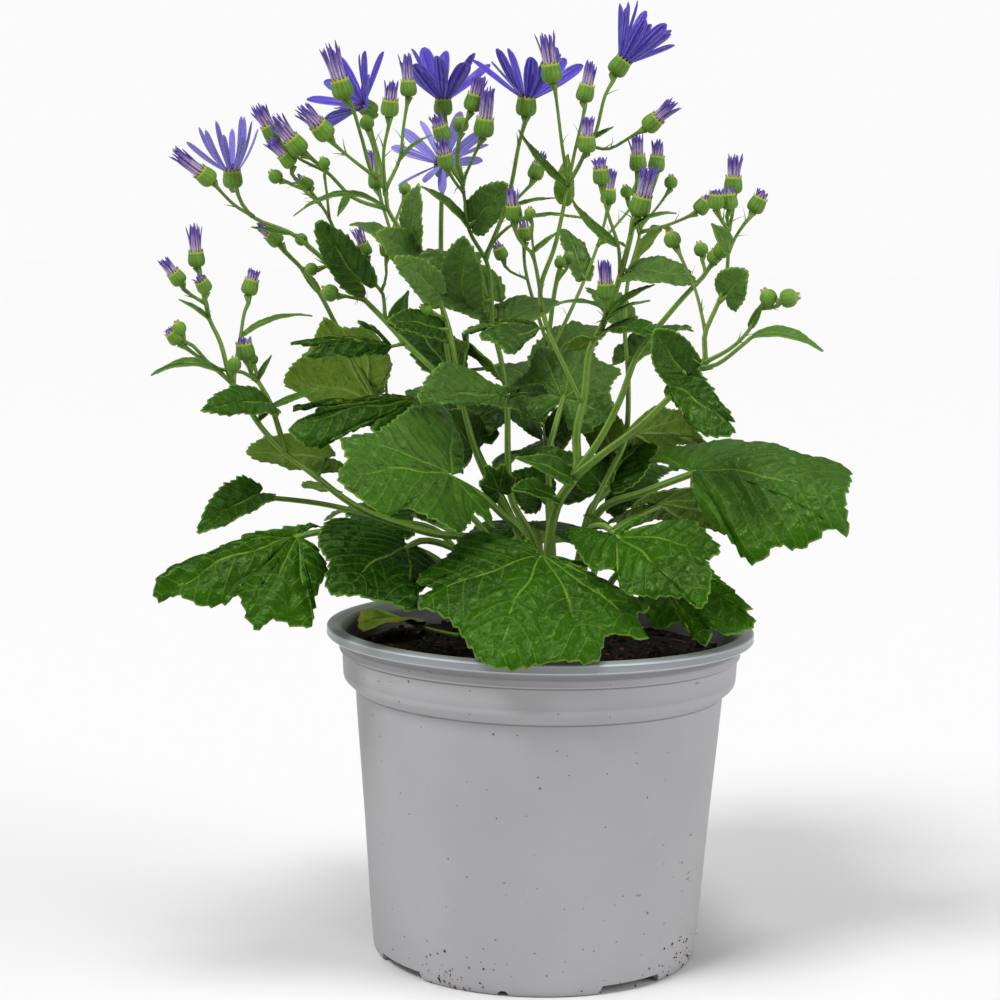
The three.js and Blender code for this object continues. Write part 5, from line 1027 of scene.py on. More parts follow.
# a grid is added flat, then bent to shape: place(across, along) gives its points
def gridPiece(columns, rows, place, *finishes):
    bpy.ops.mesh.primitive_grid_add(x_subdivisions=columns, y_subdivisions=rows, size=1, calc_uvs=True)
    piece = bpy.context.object
    flat = np.empty(3 * len(piece.data.vertices))
    piece.data.vertices.foreach_get("co", flat)
    shares = flat.reshape(-1, 3)[:, :2] + 0.5
    setPoints(piece, place(shares[:, 0], shares[:, 1]))
    for finish in finishes:
        piece.data.materials.append(finish)
    return piece


def setPoints(piece, points):
    piece.data.vertices.foreach_set("co", (np.asarray(points) * millimetre).ravel())
    piece.data.update()


def getPoints(piece):
    points = np.empty(3 * len(piece.data.vertices))
    piece.data.vertices.foreach_get("co", points)
    return points.reshape(-1, 3) / millimetre


def copyOf(template, points):
    piece = template.copy()
    piece.data = template.data.copy()
    bpy.context.collection.objects.link(piece)
    setPoints(piece, points)
    return piece


def joinedPiece(name, pieces, mergeGap=0.001):
    selectOnly(*pieces)
    if len(pieces) > 1:
        bpy.ops.object.join()
    piece = bpy.context.object
    piece.name = piece.data.name = name
    bpy.ops.object.mode_set(mode="EDIT")
    bpy.ops.mesh.select_all(action="SELECT")
    bpy.ops.mesh.remove_doubles(threshold=mergeGap * millimetre)
    bpy.ops.object.mode_set(mode="OBJECT")
    bpy.ops.object.shade_smooth()
    return piece


def finishPiece(piece, slot, *nodes):
    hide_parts(*nodes)
    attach(piece, "root")


def applyModifier(piece, kind, **settings):
    selectOnly(piece)
    modifier = piece.modifiers.new(kind.lower(), kind)
    for key, value in settings.items():
        setattr(modifier, key, value)
    bpy.ops.object.modifier_apply(modifier=modifier.name)


def unit(vector):
    return vector / np.linalg.norm(vector)


# how far each point of a line is from its start, along the line
def runLengths(line):
    return np.concatenate([[0], np.cumsum(np.linalg.norm(np.diff(line, axis=0), axis=1))])


# points of the curve that leaves start and arrives at end with the given slopes
def curveBetween(start, end, leave, arrive, share):
    cubic = 2 * start - 2 * end + leave + arrive
    square = 3 * end - 3 * start - 2 * leave - arrive
    return ((cubic * share + square) * share + leave) * share + start


# the direction at an angle round an axis
def around(side, other, angle):
    return side * math.cos(angle) + other * math.sin(angle)


# ---- stems
stemForm = {
    "step": 4.0, "sides": 10, "thinSides": 7, "thin": 0.95, "ribs": 5, "ribDepth": 0.06, "flare": 0.45,
    "flareReach": 2.6, "budFoot": -0.9, "cupFoot": -0.95, "neckSwell": 0.32, "neckReach": 2.4,
}


# a smooth route through the points, in even steps
def smoothRoute(points, step):
    points = np.array(points, float)
    ghost = [2 * points[0] - points[1], *points, 2 * points[-1] - points[-2]]
    samples = []
    share = np.linspace(0, 1, 9)[:-1, None]
    for before, start, end, after in zip(ghost, ghost[1:], ghost[2:], ghost[3:]):
        spans = (before, start), (start, end), (end, after)
        gaps = [max(np.linalg.norm(far - near) ** 0.5, 1e-3) for near, far in spans]
        leave = (start - before) / gaps[0] - (end - before) / (gaps[0] + gaps[1]) + (end - start) / gaps[1]
        arrive = (end - start) / gaps[1] - (after - start) / (gaps[1] + gaps[2]) + (after - end) / gaps[2]
        samples.append(curveBetween(start, end, leave * gaps[1], arrive * gaps[1], share))
    curve = np.vstack([*samples, points[-1:]])
    reach = runLengths(curve)
    even = np.linspace(0, reach[-1], max(3, int(round(reach[-1] / step)) + 1))
    return np.column_stack([np.interp(even, reach, curve[:, k]) for k in range(3)])


# directions across a route, carried along it without twisting
def routeFrames(route):
    ahead = np.gradient(route, axis=0)
    ahead /= np.linalg.norm(ahead, axis=1)[:, None]
    side = unit(np.cross((0.1, 1, 0.05), ahead[0]))
    sides = []
    for direction in ahead:
        side = unit(side - direction * side.dot(direction))
        sides.append(side)
    sides = np.array(sides)
    return sides, np.cross(ahead, sides)


def tubePiece(route, radii, sides, finish, ribDepth=0.0):
    side, other = routeFrames(route)
    rings = len(route)
    route = np.vstack([route[:1], route, route[-1:]])
    side = np.vstack([side[:1], side, side[-1:]])
    other = np.vstack([other[:1], other, other[-1:]])
    radii = np.concatenate([[0], radii, [0]])

    def place(across, along):
        ring = np.rint(along * (rings + 1)).astype(int)
        angle = 2 * math.pi * across
        ribbed = radii[ring] * (1 + ribDepth * np.cos(stemForm["ribs"] * angle))
        return (route[ring] + side[ring] * (ribbed * np.cos(angle))[:, None]
                + other[ring] * (ribbed * np.sin(angle))[:, None])

    return gridPiece(sides, rings + 1, place, finish)


def nearestOn(stems, point):
    best = None
    for stem in stems:
        starts, ends = stem["route"][:-1], stem["route"][1:]
        chord = ends - starts
        share = np.clip(((point - starts) * chord).sum(1) / (chord ** 2).sum(1), 0, 1)
        nearest = starts + chord * share[:, None]
        index = np.argmin(np.linalg.norm(nearest - point, axis=1))
        if best is None or np.linalg.norm(nearest[index] - point) < np.linalg.norm(best - point):
            best = nearest[index]
    return best


# every twig starts on the stem that carries it, and a cup or bud stands on the nearest twig end
def growStems(shoot):
    stems = [{"radii": stem[:2], "points": [list(point) for point in stem[2:]], "taken": False}
             for stem in shoot["stems"]]
    ends = [(radius, centre, tip, stemForm["budFoot"]) for radius, centre, tip in shoot["buds"]]
    ends += [(radius, centre, tip, stemForm["cupFoot"]) for _, centre, tip, radius in shoot["heads"]]
    for radius, centre, tip, foot in ends:
        gaps = [math.inf if stem["taken"] else math.dist(stem["points"][-1], centre) for stem in stems]
        stem = stems[gaps.index(min(gaps))]
        stem["taken"] = True
        stem["cupRadius"] = radius
        axis = unit(np.subtract(tip, centre))
        stem["points"].append(list(np.array(centre) + axis * foot * radius))
    for index, stem in enumerate(stems):
        if index:
            stem["points"][0] = list(nearestOn(stems[:index], np.array(stem["points"][0])))
        stem["route"] = smoothRoute(stem["points"], stemForm["step"])
    return stems


def stemPiece(stem, rooted):
    start, end = stem["radii"]
    route = stem["route"]
    reach = runLengths(route)
    radii = start + (end - start) * reach / reach[-1]
    if rooted:
        radii = radii * (1 + stemForm["flare"] * np.exp(-reach / stemForm["flareReach"]))
    if stem["taken"]:
        swell = np.exp((reach - reach[-1]) / stemForm["neckReach"])
        radii = radii + stemForm["neckSwell"] * stem["cupRadius"] * swell
    sides = stemForm["thinSides"] if max(start, end) < stemForm["thin"] else stemForm["sides"]
    return tubePiece(route, radii, sides, stemSkin, stemForm["ribDepth"])


# thread-like bracts along the twigs that carry the heads
bractForm = {
    "most": 4, "length": (3.2, 8.5), "slimness": 0.06, "rings": 6, "sides": 4, "places": (0.2, 0.92),
    "forward": 0.75, "outward": 0.35, "curl": 0.4, "curlPower": 2.2, "flatness": 0.5,
    "profile": [[0, 0.3, 0.7, 1], [0.8, 1, 0.6, 0.1]],
}


def bractPieces(stem, random):
    route = stem["route"]
    share = np.linspace(0, 1, bractForm["rings"])[:, None]
    pieces = []
    for _ in range(random.integers(1, bractForm["most"] + 1)):
        index = int((len(route) - 2) * random.uniform(*bractForm["places"]))
        ahead = unit(route[index + 1] - route[index])
        side = unit(np.cross(ahead, random.normal(size=3)))
        length = random.uniform(*bractForm["length"])
        outward = bractForm["outward"] * share + bractForm["curl"] * share ** bractForm["curlPower"]
        line = route[index] + ahead * length * bractForm["forward"] * share + side * length * outward
        slim = length * bractForm["slimness"] * np.interp(share[:, 0], *bractForm["profile"])
        pieces.append(bentTube(thread, line, slim, slim * bractForm["flatness"], np.cross(ahead, side), side))
    return pieces


# ---- leaves
bladeForm = {
    "thickness": 0.5, "inner": 0.03, "rowGap": 2.6, "fewestRows": 6, "rowSpread": 0.9, "fullSize": 60,
    "fold": {"oval": 0.12, "lance": 0.0}, "plainFold": 0.04, "waveHeight": 0.02, "waveCount": 6,
    "lanceFold": 0.24, "lanceCalm": 0.3,
    "ruffle": 0.016, "rufflePower": 5, "rufflesFrom": 8, "ruffleGrowth": 0.16,
    "quilt": 1.5, "pillowPower": 0.7, "pillowReach": 2.2, "rimFade": 3, "veinGroove": 0.3, "grooveWidth": 0.9,
    "grooveEnd": 1.2,
}
toothForm = {
    "gap": 7.0, "leastGap": 1.5, "gapGrowth": 0.065, "fewest": 9, "depth": 0.22, "depths": (0.4, 1.4),
    "shift": (-0.14, 0.14),
    # the points of one tooth, before and after the leaf's tip: [share of the gap, share of the depth]
    "rising": ((0, 0), (0.42, 0.5), (0.8, 1)), "falling": ((0, 0), (0.22, 1), (0.6, 0.5)),
}
veinForm = {
    "warp": 0.018, "warpPhase": 1.3, "warpGrowth": 3, "leastLobe": 0.45, "leastTurn": 0.28, "clearing": 0.3,
    "gap": 0.13, "leastGap": 3.2, "mostGap": 8.5, "slant": 0.65, "curve": 0.012,
}
stalkForm = {"shortest": 3.5, "radii": (0.88, 0.72), "grip": 1.5, "flareEnd": 12, "thin": 1}


def leafFrame(leaf):
    base, tip = np.array(leaf[1], float), np.array(leaf[2], float)
    length = np.linalg.norm(tip - base)
    ahead = (tip - base) / length
    lean, sideways = math.radians(leaf[4]), math.radians(leaf[5])
    face = np.array([math.sin(sideways), -math.sin(lean), math.cos(lean) * math.cos(sideways)])
    face = unit(face - ahead * face.dot(ahead))
    return base, ahead, np.cross(face, ahead), face, length


# the outline's corners in the blade's plane, as shares of the length
def outlineCorners(form):
    if form in ownOutlines:
        outline = ownOutlines[form]
    else:
        half = halfOutlines[form]
        outline = half[:0:-1] + [[-angle, radius] for angle, radius in half]
    outline = np.array(outline, float)
    angles = np.radians(outline[:, 0])
    return np.column_stack([outline[:, 1] * np.cos(angles), outline[:, 1] * np.sin(angles)])


def smoothLine(corners, steps=6, roundness=0.75):
    ghost = [corners[0], *corners, corners[-1]]
    share = np.linspace(0, 1, steps + 1)[:-1, None]
    line = []
    for before, start, end, after in zip(ghost, ghost[1:], ghost[2:], ghost[3:]):
        leave, arrive = (end - before) * roundness / 2, (after - start) * roundness / 2
        line.append(curveBetween(start, end, leave, arrive, share))
    return np.vstack([*line, corners[-1:]])


# the margin with its small teeth, three points to a tooth, each tooth leaning to the leaf's tip
def toothedMargin(corners, length, random, calm):
    line = smoothLine(corners) * length
    reach = runLengths(line)
    gap = min(toothForm["gap"], toothForm["leastGap"] + length * toothForm["gapGrowth"])
    teeth = max(toothForm["fewest"], int(round(reach[-1] / gap)))
    starts = (np.arange(teeth) + random.uniform(*toothForm["shift"], teeth)) / teeth
    tipAt = reach[np.argmax(np.linalg.norm(line, axis=1) - np.abs(line[:, 1]))] / reach[-1]
    spots, depths = [], []
    for start, after in zip(starts, [*starts[1:], 1]):
        depth = toothForm["depth"] * calm * random.uniform(*toothForm["depths"])
        for share, rise in toothForm["rising" if start < tipAt else "falling"]:
            spots.append(max(0.0, start) + (after - max(0.0, start)) * share)
            depths.append(rise * depth * gap)
    spots, depths = np.array([*spots, 1]) * reach[-1], np.array([*depths, 0])
    margin = np.column_stack([np.interp(spots, reach, line[:, k]) for k in range(2)])
    ahead = np.gradient(margin, axis=0)
    out = np.column_stack([-ahead[:, 1], ahead[:, 0]])
    out /= np.maximum(np.linalg.norm(out, axis=1), 1e-6)[:, None]
    return margin + out * depths[:, None]


# the main veins run from the stalk to the tips of the lobes
def veinDirections(form, corners):
    if form in ("oval", "lance"):
        return np.array([[1.0, 0.0]])
    radii = np.linalg.norm(corners, axis=1)
    angles = np.arctan2(corners[:, 1], corners[:, 0])
    found = [0.0]
    order = sorted(range(1, len(radii) - 1), key=lambda k: -radii[k])
    for k in order:
        peak = radii[k] >= max(radii[k - 1], radii[k + 1]) and radii[k] > veinForm["leastLobe"]
        if peak and min(abs(angles[k] - angle) for angle in found) > veinForm["leastTurn"]:
            found.append(angles[k])
    return np.array([[math.cos(angle), math.sin(angle)] for angle in found])


def veinPlan(form, corners, spots, length):
    wave = veinForm["warp"] * length * np.sin(spots[:, ::-1] * 4 * math.pi / length + veinForm["warpPhase"])
    outward = np.minimum(1, np.linalg.norm(spots, axis=1) * veinForm["warpGrowth"] / length)
    bent = spots + wave * outward[:, None]
    directions = veinDirections(form, corners)
    run = bent @ directions.T
    away = np.abs(bent[:, :1] * directions[:, 1] - bent[:, 1:] * directions[:, 0])
    away = np.where(run < 0, 1e3, away)
    nearest = np.argmin(away, axis=1)
    rows = np.arange(len(spots))
    distance = np.minimum(away[rows, nearest], np.linalg.norm(bent, axis=1))
    second = np.sort(np.column_stack([away, np.full(len(spots), 1e3)]), axis=1)[:, 1]
    clear = np.clip((1 - distance / second) / veinForm["clearing"], 0, 1)
    gap = max(veinForm["leastGap"], min(veinForm["mostGap"], veinForm["gap"] * length))
    along = run[rows, nearest] - veinForm["slant"] * distance - veinForm["curve"] * distance ** 2
    return distance, along / gap, clear


def bladePiece(leaf, tone, seed, finishes):
    form, width, arch, bow = leaf[0], leaf[3], leaf[6], leaf[7]
    base, ahead, across, face, length = leafFrame(leaf)
    random = np.random.default_rng(seed)
    stretch = width / (length * plainWidths.get(form, 1.0))
    calm = bladeForm["lanceCalm"] if form == "lance" else 1
    corners = outlineCorners(form)
    corners[:, 1] *= stretch
    margin = toothedMargin(corners, length, random, calm)
    columns = len(margin) - 1
    rows = max(bladeForm["fewestRows"], int(round(length / bladeForm["rowGap"])))
    phase = random.uniform(0, 2 * math.pi)
    fold = bladeForm["fold"].get(form, bladeForm["plainFold"])
    extras = {}

    def place(shareAcross, shareAlong):
        column = np.rint(shareAcross * columns).astype(int)
        reach = bladeForm["inner"] + (1 - bladeForm["inner"]) * shareAlong ** bladeForm["rowSpread"]
        spots = margin[column] * reach[:, None]
        u, v = spots[:, 0] / length, spots[:, 1] / length
        plainV = v / stretch
        radius = np.hypot(u, plainV)
        rise = arch * 4 * u * (1 - u) + fold * np.abs(v) * length
        if form == "lance":
            rise = rise + bladeForm["lanceFold"] * np.abs(spots[:, 1])
        else:
            rise = rise - bow * (2 * spots[:, 1] / width) ** 2
            wave = np.sin(bladeForm["waveCount"] * np.arctan2(plainV, u) + length)
            rise = rise + bladeForm["waveHeight"] * width * radius ** 2 * wave
        ruffles = bladeForm["rufflesFrom"] + length * bladeForm["ruffleGrowth"]
        ruffle = np.sin(shareAcross * ruffles * math.pi + phase)
        ruffle = bladeForm["ruffle"] * length * reach ** bladeForm["rufflePower"] * ruffle
        distance, sideRun, clear = veinPlan(form, corners, spots, length)
        rim = np.linalg.norm(margin[column], axis=1) * (1 - reach)
        pillow = np.abs(np.sin(math.pi * sideRun)) ** bladeForm["pillowPower"]
        pillow = pillow * (1 - np.exp(-distance / bladeForm["pillowReach"]))
        pillow = pillow * np.clip(rim / bladeForm["rimFade"], 0, 1) * clear
        groove = np.exp(-(distance / bladeForm["grooveWidth"]) ** 2)
        groove = groove * np.clip(bladeForm["grooveEnd"] - reach, 0, 1)
        relief = bladeForm["quilt"] * pillow - bladeForm["veinGroove"] * groove
        rise = rise + calm * (ruffle + min(1.0, length / bladeForm["fullSize"]) * relief)
        extras["leafPlace"] = np.column_stack([spots, rim])
        extras["leafVeins"] = np.column_stack([distance, sideRun, np.full(len(spots), tone)])
        extras["leafClear"] = np.column_stack([clear, clear, clear])
        return base + spots[:, :1] * ahead + spots[:, 1:] * across + rise[:, None] * face

    blade = gridPiece(columns, rows, place, *finishes)
    for key, values in extras.items():
        layer = blade.data.attributes.new(key, "FLOAT_VECTOR", "POINT")
        layer.data.foreach_set("vector", values.ravel())
    applyModifier(blade, "SOLIDIFY", thickness=bladeForm["thickness"] * millimetre, offset=0, use_rim=True,
                  material_offset=len(finishes) - 1)
    return blade


def stalkPiece(points, startRadius, endRadius):
    route = smoothRoute(points, stemForm["step"])
    share = np.linspace(0, 1, len(route))
    radii = startRadius + (endRadius - startRadius) * share
    radii = radii * (1 + stemForm["flare"] * np.exp(-share * stalkForm["flareEnd"]))
    sides = stemForm["thinSides"] if endRadius < stalkForm["thin"] else stemForm["sides"]
    return tubePiece(route, radii, sides, stemSkin, stemForm["ribDepth"])


def leafPieces(leaf, stems, tone, seed):
    base = np.array(leaf[1], float)
    start = nearestOn(stems, base)
    seated = list(leaf)
    pieces = []
    if leaf[0] == "lance":
        seated[1] = list(start)
    else:
        if np.linalg.norm(start - base) < stalkForm["shortest"]:
            base = base + leafFrame(leaf)[1] * stalkForm["shortest"]
            seated[1] = list(base)
        route = [start, (start + base) / 2, base + leafFrame(seated)[1] * stalkForm["grip"]]
        pieces.append(stalkPiece(route, *stalkForm["radii"]))
    return [bladePiece(seated, tone, seed, (leafTop, leafUnder)), *pieces]


# ---- cups, buds and blooms
cupForm = {
    "scales": 13, "pointsPerScale": 4, "pointRow": -4, "grooveRows": (2, 6, -3, -2),
    "side": [[0, -0.92], [0.4, -0.95], [0.72, -0.86], [0.93, -0.66], [1.02, -0.36], [1.01, 0.04],
             [0.94, 0.44], [0.89, 0.72], [0.9, 0.88], [0.81, 0.86], [0.74, 0.72], [0, 0.66]],
    "bud": [[0, -0.9], [0.42, -0.9], [0.76, -0.72], [0.96, -0.38], [1.0, 0.02], [0.94, 0.38], [0.76, 0.66],
            [0.5, 0.84], [0.3, 0.94], [0.2, 0.86], [0.1, 0.8], [0, 0.78]],
    "ridge": 0.014, "point": 0.36,
}


def cupTemplate(name, profile):
    scales = cupForm["scales"]
    profile = np.array(profile, float)
    grooveRows = [0] + [row % len(profile) for row in cupForm["grooveRows"]]

    def place(across, along):
        row = np.rint(along * (len(profile) - 1)).astype(int)
        radius, height = profile[row, 0], profile[row, 1]
        angle = 2 * math.pi * across
        wave = np.cos(scales * angle)
        depth = np.interp(row, grooveRows, [0, 0, 1, 1, 0])
        radius = radius * (1 + cupForm["ridge"] * depth * wave)
        atTop = row == len(profile) + cupForm["pointRow"]
        height = height + np.where(atTop, cupForm["point"] * np.maximum(0, wave), 0)
        return np.column_stack([radius * np.cos(angle), radius * np.sin(angle), height])

    template = gridPiece(scales * cupForm["pointsPerScale"], len(profile) - 1, place, cupGreen)
    template.name = name
    return template


def headFrame(centre, tip):
    axis = unit(np.subtract(tip, centre))
    side = unit(np.cross(axis, (0, 1, 0.3)))
    return axis, side, np.cross(axis, side)


def standOn(template, centre, tip, radius, turn):
    axis, side, other = headFrame(centre, tip)
    points = templatePoints[template.name] * radius
    turned = np.array([around(side, other, turn), around(other, -side, turn), axis])
    return copyOf(template, np.array(centre) + points @ turned)


def straightTube(name, sides, rings, finish):
    route = np.column_stack([np.zeros(rings), np.zeros(rings), np.linspace(0, 1, rings)])
    template = tubePiece(route, np.ones(rings), sides, finish)
    template.name = name
    return template


quillForm = {
    "outer": 12, "inner": 5, "sides": 6, "rings": 9, "radius": 0.115, "foot": 0.6, "innerFoot": 0.25,
    "inset": 0.62, "turns": (-0.2, 0.2), "lengths": (0.8, 1.04), "flares": (-0.35, 0.5),
    "sways": (-0.25, 0.25), "flarePower": 2.2, "slimness": (0.8, 1.2), "wide": 1.15, "deep": 0.85,
    "profile": [[0, 0.15, 0.6, 0.9, 1], [0.7, 0.95, 1.1, 0.9, 0.35]], "tips": (8, 4), "tipRings": 5,
}
rayForm = {
    "sides": 16, "rings": 14, "thickness": 0.3, "gutter": 0.28, "footHeight": 0.8, "footReach": 0.62,
    "turns": (-0.2, 0.2), "spreads": (0.6, 1.25), "lengths": (0.86, 1.1), "twists": (0.15, 0.7),
    "curls": (0.4, 1.5), "widths": (0.85, 1.1),
    "profile": [[0, 0.1, 0.3, 0.55, 0.78, 0.9, 0.97, 1], [0.38, 0.5, 0.8, 1, 0.98, 0.82, 0.52, 0.24]],
    "heads": {
        "f1": {"rays": 11, "width": 3.6, "spread": 47, "finish": "rayBright", "curl": 0.24},
        "f2": {"rays": 12, "width": 6.4, "spread": 60, "finish": "rayViolet", "curl": 0.0},
        "f3": {"rays": 10, "width": 7.2, "spread": 46, "finish": "rayViolet", "curl": 0.05},
        "f4": {"rays": 13, "width": 5.2, "spread": 70, "finish": "rayLilac", "curl": -0.04},
        "f5": {"rays": 10, "width": 6.8, "spread": 50, "finish": "rayViolet", "curl": 0.03},
        "f6": {"rays": 12, "width": 5.2, "spread": 32, "finish": "rayViolet", "curl": 0.0},
    },
}


# bends a straight tube: its length follows the route and its section keeps its two radii
def bentTube(template, route, widths, depths, side, other, gutter=0.0):
    shape = templatePoints[template.name]
    ring = np.clip(shape[:, 2], 0, 1) * (len(route) - 1)
    low = np.minimum(ring.astype(int), len(route) - 2)
    share = (ring - low)[:, None]
    centre = route[low] * (1 - share) + route[low + 1] * share
    wide = np.interp(ring, np.arange(len(route)), widths) * shape[:, 0]
    deep = np.interp(ring, np.arange(len(route)), depths) * shape[:, 1] + gutter * np.abs(wide)
    return copyOf(template, centre + wide[:, None] * side + deep[:, None] * other)


def quillPieces(centre, tip, radius, random, count, innerCount, template):
    axis, side, other = headFrame(centre, tip)
    length = math.dist(centre, tip)
    share = np.linspace(0, 1, quillForm["rings"])[:, None]
    pieces = []
    for k in range(count + innerCount):
        inner = k >= count
        angle = 2 * math.pi * (k + random.uniform(*quillForm["turns"])) / (innerCount if inner else count)
        out = around(side, other, angle)
        ring = radius * quillForm["innerFoot" if inner else "foot"]
        foot = np.array(centre) + axis * radius * quillForm["inset"] + out * ring
        reach = (length - radius * quillForm["inset"]) * random.uniform(*quillForm["lengths"])
        flare = out * radius * random.uniform(*quillForm["flares"])
        flare = flare + other * random.uniform(*quillForm["sways"]) * radius
        route = foot + axis * reach * share + flare * share ** quillForm["flarePower"]
        slim = quillForm["radius"] * radius * random.uniform(*quillForm["slimness"])
        slim = slim * np.interp(share[:, 0], *quillForm["profile"])
        wide, deep = slim * quillForm["wide"], slim * quillForm["deep"]
        pieces.append(bentTube(template, route, wide, deep, unit(np.cross(out, axis)), out))
    return pieces


def rayPieces(name, centre, tip, radius, random):
    settings = rayForm["heads"][name]
    template = rayTemplates[settings["finish"]]
    axis, side, other = headFrame(centre, tip)
    length = math.dist(centre, tip)
    share = np.linspace(0, 1, rayForm["rings"])
    outline = np.interp(share, *rayForm["profile"])
    thickness = np.full(len(share), rayForm["thickness"] / 2)
    pieces = []
    for k in range(settings["rays"]):
        angle = 2 * math.pi * (k + 0.5 + random.uniform(*rayForm["turns"])) / settings["rays"]
        out = around(side, other, angle)
        spread = math.radians(settings["spread"] * random.uniform(*rayForm["spreads"]))
        outward = around(axis, out, spread)
        across = unit(np.cross(axis, outward))
        face = np.cross(outward, across)
        foot = np.array(centre) + axis * radius * rayForm["footHeight"] + out * radius * rayForm["footReach"]
        reach = length * random.uniform(*rayForm["lengths"])
        twist = random.choice((-1, 1)) * random.uniform(*rayForm["twists"])
        sideways = unit(around(across, face, twist))
        above = np.cross(outward, sideways)
        bend = settings["curl"] * reach * random.uniform(*rayForm["curls"])
        route = foot + np.outer(share * reach, outward) + np.outer(bend * share ** 2, face)
        width = outline * settings["width"] / 2 * random.uniform(*rayForm["widths"])
        pieces.append(bentTube(template, route, width, thickness, sideways, above, gutter=rayForm["gutter"]))
    return pieces


# ---- pot
potForm = {
    "segments": 144,
    "profile": [
        [5, 6], [40, 6], [64, 6.2], [66.5, 5.6], [67.6, 4.2], [68, 0.6], [68.4, 0], [70.4, 0], [71.5, 0.4],
        [72.3, 1.5], [72.7, 3.2], [73, 6], [74.2, 20], [77.3, 62], [80.5, 100], [81.8, 117], [82, 118.9],
        [82.3, 119.2], [82.9, 119.9], [86.3, 123], [87, 123.9], [87.4, 125.2], [87.9, 133], [88, 135.4],
        [88.1, 135.8], [89.1, 136.3], [89.3, 136.8], [89.1, 137.6], [88.7, 139], [88.9, 140.2], [90.2, 141.6],
        [93.7, 142.9], [94.6, 143.2], [95, 143.7], [94.9, 144.3], [94.9, 146.1], [95, 146.6], [94.6, 147.1],
        [93.6, 147.5], [91, 147.9], [90, 147.8], [89.2, 147.2], [88.4, 146], [87.2, 143.4], [86.6, 140.5],
        [86.2, 134], [85.8, 126.5], [85.2, 125], [81, 121.4],
        [80.5, 120.2], [80.1, 118], [75.8, 62], [71.6, 12], [71, 9.2], [70.2, 8.2], [68.6, 8], [40, 8],
        [5, 8],
    ],
    "notches": 4, "notchAngle": 36, "notchWidth": 36, "notchTop": 30, "notchHeight": 4,
    "archAngle": -10, "archRadius": 2.5, "archSides": 24, "ringMiddle": 70, "cutLength": 14,
    "drainCircle": 44, "drainRadius": 4, "drainSides": 32, "drainHeight": 6, "drainDepth": 12,
    "padRadius": 7, "padSides": 48, "padHeight": 6.6, "padEdge": 0.8, "smoothAngle": 32,
}


def turnedPlace(radius, degrees, height):
    angle = math.radians(degrees)
    return radius * math.sin(angle) * millimetre, -radius * math.cos(angle) * millimetre, height * millimetre


def applyPlace():
    bpy.ops.object.transform_apply(location=True, rotation=True, scale=True)


def addCylinder(sides, radius, depth, location=(0, 0, 0), rotation=(0, 0, 0)):
    bpy.ops.mesh.primitive_cylinder_add(vertices=sides, radius=radius * millimetre, depth=depth * millimetre,
                                        location=location, rotation=rotation)
    return bpy.context.object


def cutFrom(piece, cutter):
    applyModifier(piece, "BOOLEAN", operation="DIFFERENCE", solver="EXACT", object=cutter)
    bpy.data.objects.remove(cutter)


def buildPot():
    profile = potForm["profile"]
    bpy.ops.object.select_all(action="DESELECT")
    radius, height = profile[0]
    bpy.ops.mesh.primitive_circle_add(vertices=potForm["segments"], radius=radius * millimetre,
                                      location=(0, 0, height * millimetre), fill_type="NOTHING")
    pot = bpy.context.object
    applyPlace()
    bpy.ops.object.mode_set(mode="EDIT")
    bpy.ops.mesh.select_all(action="SELECT")
    for (radius, height), (nextRadius, nextHeight) in zip(profile, profile[1:]):
        rise, growth = (nextHeight - height) * millimetre, nextRadius / radius
        bpy.ops.mesh.extrude_region_move(TRANSFORM_OT_translate={"value": (0, 0, rise)})
        bpy.ops.transform.resize(value=(growth, growth, 1), center_override=(0, 0, 0))
    bpy.ops.mesh.select_all(action="SELECT")
    bpy.ops.mesh.fill_holes(sides=0)
    bpy.ops.mesh.select_all(action="SELECT")
    bpy.ops.mesh.normals_make_consistent(inside=False)
    bpy.ops.object.mode_set(mode="OBJECT")
    for k in range(potForm["notches"]):
        turn = 360 / potForm["notches"] * k
        cutFrom(pot, notchCutter(potForm["notchAngle"] + turn))
        cutFrom(pot, archCutter(potForm["archAngle"] + turn))
        cutFrom(pot, drainCutter(potForm["notchAngle"] + turn))
    pad = padPiece()
    pot.data.materials.append(potPlastic)
    pad.data.materials.append(potPlastic)
    stuck = [copyCrumb(point, size, stuckForm["firstSeed"] + k)
             for k, (point, size) in enumerate(stuckPlaces())]
    for piece in stuck:
        piece.data.materials[0] = crumbBrown
    pot = joinedPiece("pot_dressed", [pot, pad, *stuck])
    selectOnly(pot)
    bpy.ops.object.shade_smooth_by_angle(angle=math.radians(potForm["smoothAngle"]))
    finishPiece(pot, "pot_plastic", "pot")


def notchCutter(degrees):
    size = (potForm["notchWidth"], potForm["cutLength"], 2 * potForm["notchHeight"])
    bpy.ops.mesh.primitive_cube_add(size=1, scale=Vector(size) * millimetre)
    cutter = bpy.context.object
    applyPlace()
    for vertex in cutter.data.vertices:
        if vertex.co.z > 0:
            vertex.co.x *= potForm["notchTop"] / potForm["notchWidth"]
    return placeCutter(cutter, degrees)


def archCutter(degrees):
    arch = addCylinder(potForm["archSides"], potForm["archRadius"], potForm["cutLength"],
                       rotation=(math.pi / 2, 0, 0))
    return placeCutter(arch, degrees)


def placeCutter(cutter, degrees):
    applyPlace()
    cutter.location = turnedPlace(potForm["ringMiddle"], degrees, 0)
    cutter.rotation_euler = (0, 0, math.radians(degrees))
    bpy.context.view_layer.update()
    return cutter


def drainCutter(degrees):
    place = turnedPlace(potForm["drainCircle"], degrees, potForm["drainHeight"])
    return addCylinder(potForm["drainSides"], potForm["drainRadius"], potForm["drainDepth"], place)


